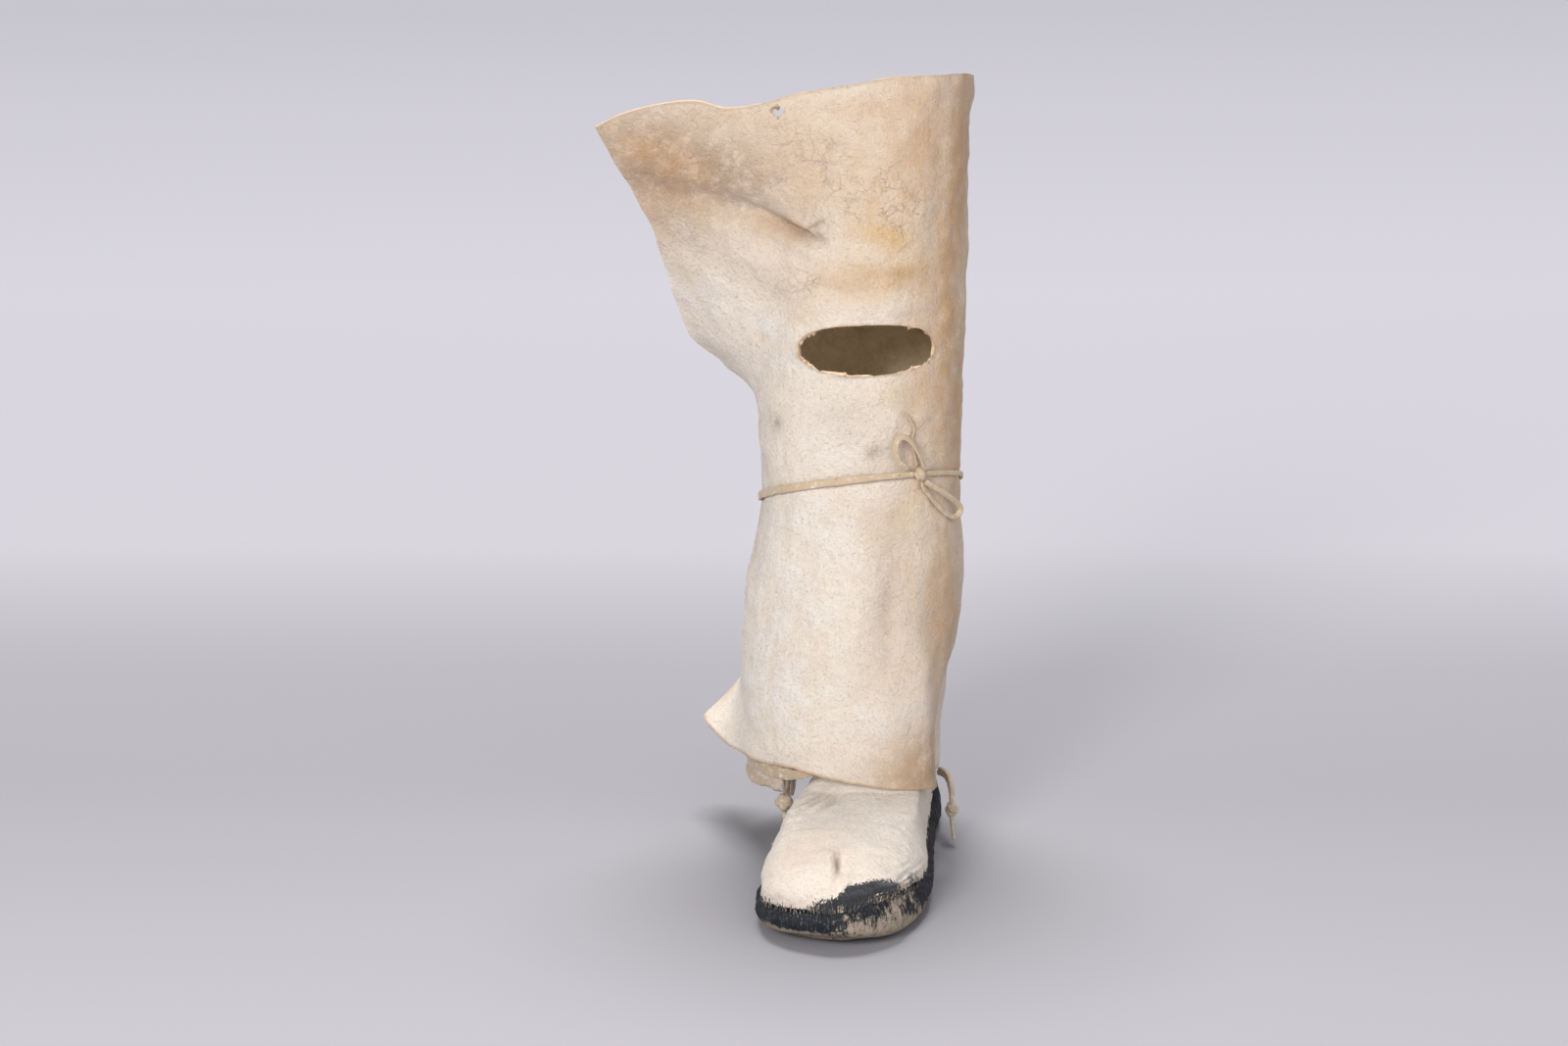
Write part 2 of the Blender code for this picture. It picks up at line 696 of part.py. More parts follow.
def cord(name, points, radius, count, finish):
    curve = bpy.data.curves.new(name, "CURVE")
    curve.dimensions = "3D"
    curve.bevel_depth = radius
    curve.bevel_resolution = CORD_SIDES
    curve.use_fill_caps = True
    line = curve.splines.new("POLY")
    route = through(points, count)
    line.points.add(len(route) - 1)
    for point, where in zip(line.points, route):
        point.co = (*where, 1)
    curve.materials.append(finish)
    made = bpy.data.objects.new(name, curve)
    bpy.context.scene.collection.objects.link(made)
    return made


# Routes of the calf bow, from the knot. turn: degrees round the leg towards the big-toe side.
# up: from the knot. out: from the legging's face to the thong's middle.
UPPER_LOOP = [
    (0.5, 0.0045, 0.0048),
    (-1.5, 0.0095, 0.0050),
    (-6.0, 0.0180, 0.0050),
    (-11.0, 0.0232, 0.0050),
    (-15.0, 0.0225, 0.0052),
    (-16.5, 0.0160, 0.0052),
    (-14.0, 0.0090, 0.0046),
    (-8.5, 0.0042, 0.0036),
]
LOWER_LOOP = [
    (2.0, -0.0045, 0.0040),
    (9.0, -0.0090, 0.0044),
    (18.0, -0.0155, 0.0050),
    (26.5, -0.0215, 0.0054),
    (30.5, -0.0265, 0.0050),
    (27.0, -0.0295, 0.0038),
    (19.0, -0.0265, 0.0028),
    (10.0, -0.0180, 0.0024),
    (3.0, -0.0095, 0.0024),
    (0.0, -0.0048, 0.0030),
]
BOW_END = [
    (-2.0, 0.0050, 0.0017),
    (-3.5, 0.0120, 0.0016),
    (-5.5, 0.0200, 0.0016),
    (-4.5, 0.0270, 0.0018),
    (-7.0, 0.0325, 0.0024),
    (-11.5, 0.0380, 0.0030),
]
# Route of the ankle end, from its knot's middle
ANKLE_END = [
    (0.0000, 0.0000, -0.0055),
    (0.0006, -0.0012, -0.0100),
    (0.0006, -0.0024, -0.0150),
    (-0.0008, -0.0038, -0.0195),
    (-0.0034, -0.0050, -0.0228),
    (-0.0060, -0.0060, -0.0262),
]
# Routes of the heel thong and its tail, in the object's own frame
HEEL_THONG = [
    (0.0325, 0.0040, 0.0345),
    (0.0370, -0.0015, 0.0352),
    (0.0412, -0.0100, 0.0338),
    (0.0440, -0.0190, 0.0300),
    (0.0449, -0.0243, 0.0259),
]
HEEL_TAIL = [
    (0.0449, -0.0247, 0.0155),
    (0.0456, -0.0275, 0.0120),
    (0.0466, -0.0305, 0.0080),
    (0.0474, -0.0330, 0.0040),
]
HEEL_KNOT = (0.0449, -0.0245, 0.0205)


def build_bow(finish):
    middle = tie_point(KNOT_ANGLE, GAP + KNOT_WAIST * KNOT_SIZE[1] / 2)
    ball("calf_knot", middle, [s / 2 for s in KNOT_SIZE], finish, math.radians(KNOT_ANGLE + 90))
    for name, route, radius, count in (
        ("bow_loop_upper", UPPER_LOOP, CORD_RADIUS, 18),
        ("bow_loop_lower", LOWER_LOOP, CORD_RADIUS, 22),
        ("bow_end", BOW_END, CORD_RADIUS * 0.7, 12),
    ):
        points = []
        for turn, up, out in route:
            angle, z = KNOT_ANGLE + turn, middle.z + up
            x, y = tube(angle, z, lap_offset(angle) + out)
            points.append((float(x), float(y), z))
        cord(name, points, radius, count, finish)


def build_ankle_thongs(finish):
    a = math.radians(ANKLE_KNOT_ANGLE)
    r, axis = leg_radius(ANKLE_KNOT_ANGLE, HEM_LEVEL, LEG_HIDE)
    r -= CALF_WIDTH * FLAP_FOLDS[-3][0]
    low = COLLAR_HEIGHT * FLAP_FOLDS[-3][1] - FLAP_HIDE / 2
    middle = (axis[0] + r * math.cos(a), axis[1] + r * math.sin(a), low - ANKLE_KNOT_RADIUS + GAP)
    ball("ankle_knot", middle, [ANKLE_KNOT_RADIUS] * 3, finish)
    route = [[m + d for m, d in zip(middle, step)] for step in ANKLE_END]
    cord("ankle_end", route, CORD_RADIUS * 0.8, 9, finish)
    cord("heel_thong", HEEL_THONG, CORD_RADIUS * 1.25, 10, finish)
    ball("heel_thong_knot", HEEL_KNOT, [TAIL_KNOT_RADIUS] * 3, finish)
    cord("heel_tail", HEEL_TAIL, CORD_RADIUS * 0.65, 7, finish)


def main():
    for old in list(bpy.data.objects):
        bpy.data.objects.remove(old)
    leg_hide = material("leg_hide", WHITE_HIDE, 0.9)
    foot_hide = material("foot_hide", FOOT_HIDE, 0.85)
    rawhide = material("rawhide", BLACK_RAWHIDE, 0.55)
    thong = material("thong", THONG_TAN, 0.85)
    build_sole(rawhide)
    upper = build_upper(foot_hide)
    bpy.context.view_layer.update()
    lift = seat_on_upper(upper)
    build_legging(leg_hide, lift)
    build_flap(leg_hide)
    build_tie(thong)
    build_bow(thong)
    build_ankle_thongs(thong)


main()
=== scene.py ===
"""Looks of the right-foot high-top moccasin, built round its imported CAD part.

Metres, toe to -Y, big-toe side +X. Angles round the leg are in degrees: 0 is the big-toe side, -90 the front
and 180 the outer side.
"""

import math

import bmesh
import bpy
import numpy as np
from mathutils import Euler, Matrix, Vector


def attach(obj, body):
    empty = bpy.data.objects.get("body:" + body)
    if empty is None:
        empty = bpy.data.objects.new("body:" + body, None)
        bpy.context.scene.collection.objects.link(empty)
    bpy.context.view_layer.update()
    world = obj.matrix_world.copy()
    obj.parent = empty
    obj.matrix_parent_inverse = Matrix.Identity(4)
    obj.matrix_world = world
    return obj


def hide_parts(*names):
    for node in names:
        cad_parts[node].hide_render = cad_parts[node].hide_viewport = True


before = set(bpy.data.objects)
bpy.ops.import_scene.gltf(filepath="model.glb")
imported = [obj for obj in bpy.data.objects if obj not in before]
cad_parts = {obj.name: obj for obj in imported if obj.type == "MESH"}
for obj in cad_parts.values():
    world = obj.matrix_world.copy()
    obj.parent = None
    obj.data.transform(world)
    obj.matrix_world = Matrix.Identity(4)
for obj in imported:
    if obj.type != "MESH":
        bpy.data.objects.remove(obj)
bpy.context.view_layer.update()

# Sizes, as in the part's source
GAP = 0.0003
FOOT_LENGTH = 0.254
BALL_WIDTH = 0.101
HEEL_BACK = 0.045
SOLE_WALL = 0.003
RIM_HEIGHT = 0.015
RIM_LEAN = 0.0034
EDGE_ROUND = 0.011
EDGE_RISE = 0.0085
TOE_SPRING = 0.007
SPRING_LENGTH = 0.050
ARCH_RISE = 0.002
ARCH_FRONT = -0.078
ARCH_BACK = -0.016
SOLE_EDGE = [
    (0, 0.06, 1), (0.036, 0.28, 1.45), (0.125, 0.42, 1.6), (0.3, 0.485, 1.2), (0.52, 0.415, 1.1),
    (0.72, 0.355, 1.4), (0.87, 0.325, 2.05), (0.965, 0.205, 2.5), (1, 0, 2.6), (0.965, -0.205, 2.5),
    (0.87, -0.33, 2.05), (0.72, -0.375, 1.4), (0.52, -0.422, 1.1), (0.32, -0.475, 1), (0.135, -0.412, 0.95),
    (0.036, -0.24, 0.95),
]
UPPER_HIDE = 0.0018
COLLAR_HEIGHT = 0.088
TUCK = 0.006
SEAM_STEP = 0.0009
SEAM_ROW = 4.55
SEAM_HALF = 0.05
UPPER_RINGS = [
    (0.014, 0.016, 0.935, 0.89, 0.1, 0.48, 0.46, 0.65), (0.017, 0.018, 0.935, 0.87, 0.3, 0.48, 0.46, 0.65),
    (0.04, 0.023, 0.885, 0.85, 0.6, 0.48, 0.46, 0.65), (0.098, 0.03, 0.805, 0.82, 0.88, 0.49, 0.47, 0.66),
    (0.19, 0.036, 0.725, 0.8, 1, 0.52, 0.52, 0.7), (0.3, 0.041, 0.655, 0.78, 1, 0.53, 0.56, 0.75),
    (0.405, 0.045, 0.605, 0.77, 1, 0.55, 0.62, 0.8), (0.5, 0.048, 0.59, 0.77, 1, 0.605, 0.71, 0.86),
    (0.56, 0.049, 0.605, 0.78, 1, 0.76, 0.86, 0.93), (0.59, 0.049, 0.615, 0.79, 1, 0.955, 0.97, 1),
]
SIDE_SHARE = 0.45
SHAFT_HEIGHT = 0.456
CALF_WIDTH = 0.118
LEG_HIDE = 0.0022
LAP_PITCH = 0.0034
INNER_EDGE = 186.0
HEM_LIFT = 0.00041  # what the part's source finds for the hem to clear the instep
FREE_EDGE = [
    (0, -231), (0.15, -222), (0.4, -216), (0.8, -212), (0.89, -218), (1, -229),
]
TUBE = [
    (0.11, -0.15, -0.17, 0.515, 0.576), (0.22, -0.14, -0.161, 0.545, 0.559), (0.34, -0.11, -0.144, 0.54, 0.534),
    (0.465, -0.076, -0.127, 0.492, 0.5), (0.57, -0.076, -0.119, 0.5, 0.508), (0.68, -0.064, -0.11, 0.5, 0.508),
    (0.79, -0.051, -0.102, 0.496, 0.5), (1, -0.03, -0.093, 0.508, 0.5),
]
HEM = [
    (-231, 0.525, 0.121), (-212, 0.525, 0.117), (-180, 0.525, 0.117), (-160, 0.534, 0.123), (-135, 0.559, 0.13),
    (-110, 0.576, 0.134), (-90, 0.593, 0.127), (-75, 0.615, 0.121), (-60, 0.66, 0.116), (-45, 0.655, 0.109),
    (-30, 0.56, 0.096), (0, 0.445, 0.079), (30, 0.535, 0.094), (60, 0.61, 0.103), (90, 0.588, 0.105),
    (120, 0.555, 0.105), (150, 0.534, 0.108), (186, 0.525, 0.115),
]
HEM_LEVEL = 0.060
HEM_FADE = 0.100
TOP_EDGE = [
    (-229, 0.938), (-215, 0.953), (-195, 0.966), (-175, 0.972), (-155, 0.962), (-140, 0.967), (-120, 0.98),
    (-90, 0.991), (-60, 1), (-20, 0.998), (0, 0.992), (30, 0.972), (60, 0.945), (90, 0.918), (135, 0.89),
    (186, 0.875),
]
OPENING = [
    (0.12, -140, 0.92), (0.27, -156, 0.3), (0.4, -160, 0), (0.55, -158, 0), (0.585, -153, 0.7), (0.61, -146, 1),
    (0.66, -128, 1), (0.776, -113, 1), (0.85, -103, 1), (0.9, -96, 1), (1, -88, 1),
]
OPENING_EASE = 24.0
WINDOW_ANGLE = -77.0
WINDOW_MIDDLE_Z = 0.3035
WINDOW_WIDTH = 0.077
WINDOW_ABOVE = 0.0155
WINDOW_BELOW = 0.0130
WINDOW_SQUARENESS = 2.5
WEAR_HOLE = (-0.0445, 0.4375)
WEAR_HOLE_SIZE = (0.0090, 0.0046)
FLAP_HIDE = 0.0018
FLAP_FOLDS = [
    (0, 0.92), (0, 0.6), (0.01, 0.51), (0.024, 0.52), (0.032, 0.62), (0.04, 0.72), (0.052, 0.72), (0.058, 0.6),
    (0.066, 0.47), (0.082, 0.46), (0.092, 0.58), (0.098, 0.7),
]
FLAP_FROM = -116.0
FLAP_TO = -171.0
THONG_WIDTH = 0.0046
THONG_THICKNESS = 0.0020
TIE_HEIGHT = 0.2146
TIE_SIDE_RISE = 0.0086
TIE_FRONT_RISE = 0.0160
KNOT_ANGLE = -46.5
KNOT_SIZE = (0.0085, 0.0052, 0.0078)
KNOT_WAIST = 0.84
ANKLE_KNOT_ANGLE = -123.0

# Points of the meshes
LEG_COLUMNS, LEG_ROWS = 236, 202
LEG_COLUMN_CROWD = (0.70, 0.11, 1.3)
LEG_ROW_CROWDS = ((0.665, 0.04, 1.0), (0.80, 0.05, 1.0), (0.96, 0.02, 1.5))
HEM_ROWS = (0, 0.0014, 0.0028)
PLAN_STEPS = 24
SOLE_COLUMNS, SOLE_ARC_ROWS, SOLE_SIDE_ROWS, FLOOR_STEPS = 520, 12, 14, 14
UPPER_COLUMNS, UPPER_ROWS = 430, 110
UPPER_ROW_CROWD = (5.0, 2.0, 1.4)
FLAP_STATIONS, FLAP_STEPS = 110, 78
TIE_STEPS, FOLD_STEPS = 420, 90
LUMP_ROWS, LUMP_SIDES = 26, 36
CURVE_STEPS = 24

STITCH_RADIUS, STITCH_SIDES, STITCH_EVERY = 0.00042, 6, 3
STITCH_ENDS = ((-0.06, 0.5), (0.12, 1.0), (0.88, 1.0), (1.06, 0.5))  # share of its length, and of its radius
# Random relief of the foot: height, size and seed
UPPER_WAVES = ((0.0008, 0.034, 41), (0.0004, 0.013, 42), (0.00016, 0.006, 43))

CAMERA_AT = (0.277, -1.587, 0.578)
CAMERA_AZIMUTH = 7.8
CAMERA_PITCH = 13.6
CAMERA_TURN = 4.05  # turned this far to the side, in its own level, so that the one shoe is in the middle
FOCAL = 64.1
SENSOR = 36.0


def add_object(name, data):
    made = bpy.data.objects.new(name, data)
    bpy.context.scene.collection.objects.link(made)
    return made


def make_camera():
    data = bpy.data.cameras.new("camera")
    data.lens, data.sensor_width = FOCAL, SENSOR
    camera = add_object("camera", data)
    camera.location = CAMERA_AT
    straight = Euler((math.radians(90 - CAMERA_PITCH), 0, math.radians(CAMERA_AZIMUTH))).to_matrix()
    camera.rotation_euler = (straight @ Matrix.Rotation(math.radians(CAMERA_TURN), 3, "Y")).to_euler()
    bpy.context.scene.camera = camera


# Curves, fields and meshes
def smooth(table_x, table_y, x):
    """A curve through the table's points that rises and falls only where they do."""
    tx, ty = np.asarray(table_x, float), np.asarray(table_y, float)
    step = np.diff(tx)
    slope = np.diff(ty) / step
    tangent = np.zeros(len(tx))
    tangent[0], tangent[-1] = slope[0], slope[-1]
    for i in range(1, len(tx) - 1):
        if slope[i - 1] * slope[i] > 0:
            before, after = 2 * step[i] + step[i - 1], step[i] + 2 * step[i - 1]
            tangent[i] = (before + after) / (before / slope[i - 1] + after / slope[i])
    x = np.clip(np.asarray(x, float), tx[0], tx[-1])
    i = np.clip(np.searchsorted(tx, x, side="right") - 1, 0, len(tx) - 2)
    t = (x - tx[i]) / step[i]
    return (
        (2 * t**3 - 3 * t**2 + 1) * ty[i]
        + (t**3 - 2 * t**2 + t) * step[i] * tangent[i]
        + (3 * t**2 - 2 * t**3) * ty[i + 1]
        + (t**3 - t**2) * step[i] * tangent[i + 1]
    )


def read(table, n, x):
    """The smooth curve of a table's column n over its first column."""
    return smooth([row[0] for row in table], [row[n] for row in table], x)


def ease(x):
    x = np.clip(x, 0.0, 1.0)
    return x * x * (3 - 2 * x)


def bell(x, half):
    return np.exp(-((x / half) ** 2))


def crowded(low, high, count, *places):
    """Values from low to high, closer together round some places: (place, half width, how much more)."""
    fine = np.linspace(low, high, 4000)
    weight = np.cumsum(1 + sum(more * bell(fine - at, half) for at, half, more in places))
    return np.interp(np.linspace(weight[0], weight[-1], count), weight, fine)


def waves(x, y, size, seed, count=16):
    """A smooth random relief from about -1 to 1. x, y and size are in the same unit."""
    chance = np.random.default_rng(seed)
    total = np.zeros(np.broadcast(x, y).shape)
    for _ in range(count):
        way, phase = chance.uniform(0, 2 * math.pi, 2)
        k = 2 * math.pi / (size * chance.uniform(0.7, 1.5))
        total += np.sin(k * (x * math.cos(way) + y * math.sin(way)) + phase)
    return total * math.sqrt(2 / count) / 2


def spots(areas, x, y):
    """Soft round spots. areas: middle, half length, half width, degrees of its long way, and how high."""
    made = []
    for at_x, at_y, half, wide, turn, much in areas:
        c, s = math.cos(math.radians(turn)), math.sin(math.radians(turn))
        u, v = (x - at_x) * c + (y - at_y) * s, (y - at_y) * c - (x - at_x) * s
        made.append(much * np.exp(-((u / half) ** 2) - (v / wide) ** 2))
    return np.array(made)


def grid_faces(rows, columns, wrap=False):
    """Faces of a grid of points. wrap: each row closes on itself."""
    faces = []
    for first in range(0, (rows - 1) * columns, columns):
        for i in range(columns if wrap else columns - 1):
            j = (i + 1) % columns
            faces.append((first + i, first + j, first + columns + j, first + columns + i))
    return faces


def closed_rings(rings):
    """Points and faces of a closed form made of rings that turn to the left when looking back along them."""
    count, sides = rings.shape[:2]
    faces = [f[::-1] for f in grid_faces(count, sides, wrap=True)]
    faces += [tuple(range(sides)), tuple(range((count - 1) * sides, count * sides))[::-1]]
    return rings.reshape(-1, 3), faces


def unit(rows):
    return rows / np.maximum(np.linalg.norm(rows, axis=-1), 1e-12)[..., None]


def normals_of(grid, wrap=False):
    """Unit normals of a grid of points, on the right of its rows when looking along its columns."""
    if wrap:
        along = np.roll(grid, -1, 1) - np.roll(grid, 1, 1)
    else:
        along = np.gradient(grid, axis=1)
    return unit(np.cross(along, np.gradient(grid, axis=0)))


def add_mesh(name, points, faces, *materials, **fields):
    mesh = bpy.data.meshes.new(name)
    mesh.from_pydata(np.asarray(points, float).reshape(-1, 3).tolist(), [], faces)
    mesh.update()
    mesh.shade_smooth()
    for key, values in fields.items():
        layer = mesh.attributes.new(key, "FLOAT", "POINT")
        layer.data.foreach_set("value", np.asarray(values, np.float32).ravel())
    for material in materials:
        mesh.materials.append(material)
    made = add_object(name, mesh)
    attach(made, "root")
    return made


def wall(obj, thickness):
    """Gives a sheet its thickness, with its second material on the inside and its third on the cut edge."""
    made = obj.modifiers.new("wall", "SOLIDIFY")
    made.thickness, made.offset, made.use_even_offset = thickness, -1, False
    made.material_offset, made.material_offset_rim = 1, 2
    graph = bpy.context.evaluated_depsgraph_get()
    mesh = bpy.data.meshes.new_from_object(obj.evaluated_get(graph))
    obj.modifiers.clear()
    obj.data = mesh
    mesh.shade_smooth()
    mesh.set_sharp_from_angle(angle=math.radians(50))


def spline(before, here, after, beyond, f):
    """The smooth curve from here to after, at share f."""
    return 0.5 * (
        2 * here
        + (after - before) * f
        + (2 * before - 5 * here + 4 * after - beyond) * f**2
        + (3 * here - before - 3 * after + beyond) * f**3
    )


def run_of(path):
    """How far each point of a path lies along it."""
    return np.concatenate([[0], np.cumsum(np.linalg.norm(np.diff(path, axis=0), axis=1))])


def through(points, count):
    """Evenly spread points of the smooth curve through a few points."""
    p = np.array([tuple(v) for v in points], float)
    p = np.concatenate([[2 * p[0] - p[1]], p, [2 * p[-1] - p[-2]]])
    f = np.arange(CURVE_STEPS)[:, None] / CURVE_STEPS
    fine = np.concatenate([*(spline(*p[k - 1 : k + 3], f) for k in range(1, len(p) - 2)), p[-2:-1]])
    run = run_of(fine)
    at = np.linspace(0, run[-1], count)
    return np.stack([np.interp(at, run, fine[:, n]) for n in range(3)], axis=-1)


# Materials
class Finish:
    """A material whose colour is built up in layers, with bumps under it."""

    def __init__(self, name, colour, roughness, sheen=0.0, specular=0.5):
        self.material = bpy.data.materials.new(name)
        self.material.use_nodes = True
        tree = self.material.node_tree
        self.nodes, self.links = tree.nodes, tree.links
        self.shader = self.nodes["Principled BSDF"]
        self.colour, self.normal = (*colour, 1), None
        looks = {"Base Color": self.colour, "Roughness": roughness, "Specular IOR Level": specular}
        looks.update({"Sheen Weight": sheen, "Sheen Roughness": 0.6})
        for key, value in looks.items():
            self.shader.inputs[key].default_value = value
        self.where = self.nodes.new("ShaderNodeTexCoord").outputs["Object"]

    def node(self, kind, out, inputs, **settings):
        """Adds a node. inputs: a number, a colour or another node's output for each of its inputs."""
        made = self.nodes.new("ShaderNode" + kind)
        for key, value in settings.items():
            setattr(made, key, value)
        for key, value in inputs.items():
            if isinstance(value, bpy.types.NodeSocket):
                self.links.new(value, made.inputs[key])
            else:
                made.inputs[key].default_value = value
        return made.outputs[out]

    def noise(self, scale, detail=4.0, rough=0.6, stretch=None, out="Fac"):
        where = self.where
        if stretch:
            where = self.node("Mapping", "Vector", {"Vector": where, "Scale": stretch})
        looks = {"Vector": where, "Scale": scale, "Detail": detail, "Roughness": rough}
        return self.node("TexNoise", out, looks)

    def between(self, value, low, high, most=1.0, least=0.0, kind="SMOOTHSTEP"):
        """least where the value is under low, rising to most where it is over high."""
        ends = {"Value": value, "From Min": low, "From Max": high, "To Min": least, "To Max": most}
        return self.node("MapRange", "Result", ends, interpolation_type=kind)

    def crackle(self, scale, bend):
        """Lines of fine wrinkles: 1 on a line, 0 away from it."""
        shift = self.noise(scale * 0.9, 4, 0.5, out="Color")
        bent = {0: shift, 1: (bend, bend, bend), 2: self.where}
        where = self.node("VectorMath", "Vector", bent, operation="MULTIPLY_ADD")
        cells = {"Vector": where, "Scale": scale}
        near = self.node("TexVoronoi", "Distance", cells, feature="DISTANCE_TO_EDGE")
        return self.between(near, 0.0, 0.075, 0.0, 1.0)

    def painted(self, name):
        return self.node("Attribute", "Fac", {}, attribute_name=name)

    def maths(self, operation, a, b):
        return self.node("Math", "Value", {0: a, 1: b}, operation=operation)

    def layer(self, colour, amount):
        mixed = {"A": self.colour, "B": (*colour, 1), "Factor": amount}
        self.colour = self.node("Mix", "Result", mixed, data_type="RGBA")
        self.links.new(self.colour, self.shader.inputs["Base Color"])

    def speckle(self, colour, noise, span):
        """A layer that shows where a noise is high. span: what the noise fades in between, and the most."""
        self.layer(colour, self.between(self.noise(*noise), *span))

    def patches(self, field, colour, noise, span):
        """A layer that shows where a field is painted, broken up by a noise."""
        amount = self.between(self.noise(*noise), *span)
        self.layer(colour, self.maths("MULTIPLY", self.painted(field), amount))

    def bump(self, height, depth, strength=1.0):
        inputs = {"Distance": depth, "Strength": strength, "Height": height}
        if self.normal is not None:
            inputs["Normal"] = self.normal
        self.normal = self.node("Bump", "Normal", inputs)
        self.links.new(self.normal, self.shader.inputs["Normal"])

    def grain(self, noise, depth, strength):
        self.bump(self.noise(*noise), depth, strength)


def hide_finish(name, colour, tan, pale, grain=1.0, dyed=False):
    """Napped off-white hide. It reads painted fields of tan, clay, stain and cockle, one of dirt and painted
    shade, and dye where dyed.
    """
    f = Finish(name, colour, 0.88, sheen=0.25, specular=0.25)
    f.speckle(tan, (16, 5, 0.62), (0.42, 0.78, 0.42))
    f.speckle(pale, (34, 6, 0.68), (0.50, 0.80, 0.55))
    f.patches("stain", (0.74, 0.52, 0.26), (42, 5, 0.7), (0.34, 0.58))
    f.patches("clay", (0.93, 0.90, 0.87), (60, 7, 0.75), (0.38, 0.62))
    # Dark brown where the field of dirt and painted shade is painted: dirt, and painted shade along creases and
    # on parts turned from the light.
    f.patches("smudge", (0.34, 0.27, 0.215), (120, 5, 0.7), (0.26, 0.58))
    here = f.maths("MULTIPLY", f.between(f.noise(38, 3, 0.6), 0.46, 0.62), f.painted("cockle"))
    cockle = f.maths("MULTIPLY", f.crackle(120, 0.018), here)
    # The wrinkle lines are also painted darker: painted shade in the fine creases.
    f.layer((0.52, 0.38, 0.25), f.between(cockle, 0.25, 1.0, 0.38))
    f.speckle((0.46, 0.34, 0.23), (560, 5, 0.75), (0.50, 0.70, 0.55 * grain))
    f.speckle((0.46, 0.34, 0.23), (1250, 3, 0.7), (0.55, 0.70, 0.45 * grain))
    f.speckle((0.97, 0.93, 0.88), (780, 3, 0.6), (0.55, 0.72, 0.50 * grain))
    f.patches("tan", (0.57, 0.32, 0.130), (95, 6, 0.72), (0.0, 0.62))
    f.speckle((0.16, 0.12, 0.09), (290, 2, 0.5), (0.745, 0.77, 0.35))
    f.bump(f.maths("MULTIPLY", cockle, -1.0), 0.0007, 0.8)
    f.grain((60, 5, 0.60), 0.0040, 0.60 * grain)
    f.grain((160, 5, 0.62), 0.0016, 0.65 * grain)
    f.grain((480, 5, 0.75), 0.0015, 0.85 * grain)
    f.grain((1500, 4, 0.7), 0.0004, 0.7 * grain)
    if dyed:
        strokes = f.maths("MULTIPLY", f.noise(800, 4, 0.75, (1, 1, 0.14)), 1.5)
        f.layer((0.016, 0.017, 0.022), f.between(f.maths("ADD", f.painted("dye"), strokes), 1.24, 1.32))
    return f.material


def flesh_finish(name):
    """The rough fibrous inner side of a hide."""
    f = Finish(name, (0.70, 0.57, 0.40), 0.95, sheen=0.2, specular=0.15)
    f.speckle((0.45, 0.32, 0.18), (45, 6, 0.75), (0.42, 0.66, 0.75))
    f.speckle((0.80, 0.70, 0.54), (150, 6, 0.8), (0.50, 0.68, 0.7))
    f.speckle((0.30, 0.21, 0.13), (420, 4, 0.7), (0.62, 0.74, 0.5))
    f.grain((110, 8, 0.8), 0.0030, 0.8)
    f.grain((900, 4, 0.7), 0.0007, 0.8)
    return f.material


def edge_finish(name):
    """A cut hide edge, fibrous, with paler and darker parts."""
    f = Finish(name, (0.66, 0.47, 0.30), 0.95, sheen=0.1, specular=0.15)
    f.speckle((0.80, 0.66, 0.48), (260, 4, 0.7), (0.48, 0.66, 0.7))
    f.speckle((0.44, 0.29, 0.17), (140, 4, 0.7), (0.50, 0.70, 0.7))
    f.grain((800, 5, 0.75), 0.0009, 0.8)
    return f.material


def rawhide_finish(name):
    """Stiff rawhide, black-dyed where the field dye is high and bare and dirty where it is low."""
    f = Finish(name, (0.38, 0.31, 0.235), 0.62, specular=0.3)
    f.speckle((0.30, 0.24, 0.19), (70, 6, 0.75), (0.42, 0.66, 0.7))
    f.speckle((0.50, 0.44, 0.36), (190, 6, 0.78), (0.52, 0.70, 0.75))
    f.speckle((0.10, 0.09, 0.09), (300, 6, 0.8, (1, 1, 0.6)), (0.50, 0.62, 0.75))
    fine = f.maths("MULTIPLY", f.noise(560, 6, 0.8, (1, 1, 0.16)), 1.1)
    strokes = f.maths("ADD", fine, f.maths("MULTIPLY", f.noise(150, 7, 0.8), 0.9))
    f.layer((0.010, 0.012, 0.017), f.between(f.maths("ADD", f.painted("dye"), strokes), 1.27, 1.36))
    f.patches("dye", (0.34, 0.34, 0.36), (900, 4, 0.8, (1, 1, 0.10)), (0.55, 0.72))
    f.speckle((0.48, 0.43, 0.37), (520, 4, 0.75), (0.66, 0.73, 0.70))
    rough = f.between(f.noise(160, 4, 0.6), 0.3, 0.7, 0.82, 0.50, kind="LINEAR")
    f.links.new(rough, f.shader.inputs["Roughness"])
    f.grain((360, 6, 0.75, (1, 1, 0.3)), 0.0014, 0.8)
    f.grain((1100, 4, 0.7), 0.0003, 0.6)
    return f.material


def thong_finish(name, colour):
    f = Finish(name, colour, 0.9, sheen=0.25, specular=0.2)
    f.speckle((0.50, 0.37, 0.22), (170, 5, 0.7), (0.46, 0.68, 0.55))
    f.speckle((0.88, 0.80, 0.66), (330, 5, 0.75), (0.52, 0.68, 0.6))
    f.speckle((0.16, 0.10, 0.06), (260, 3, 0.6), (0.70, 0.745, 0.7))
    f.grain((420, 5, 0.7), 0.0008, 0.7)
    f.grain((1900, 3, 0.7), 0.0003, 0.6)
    return f.material


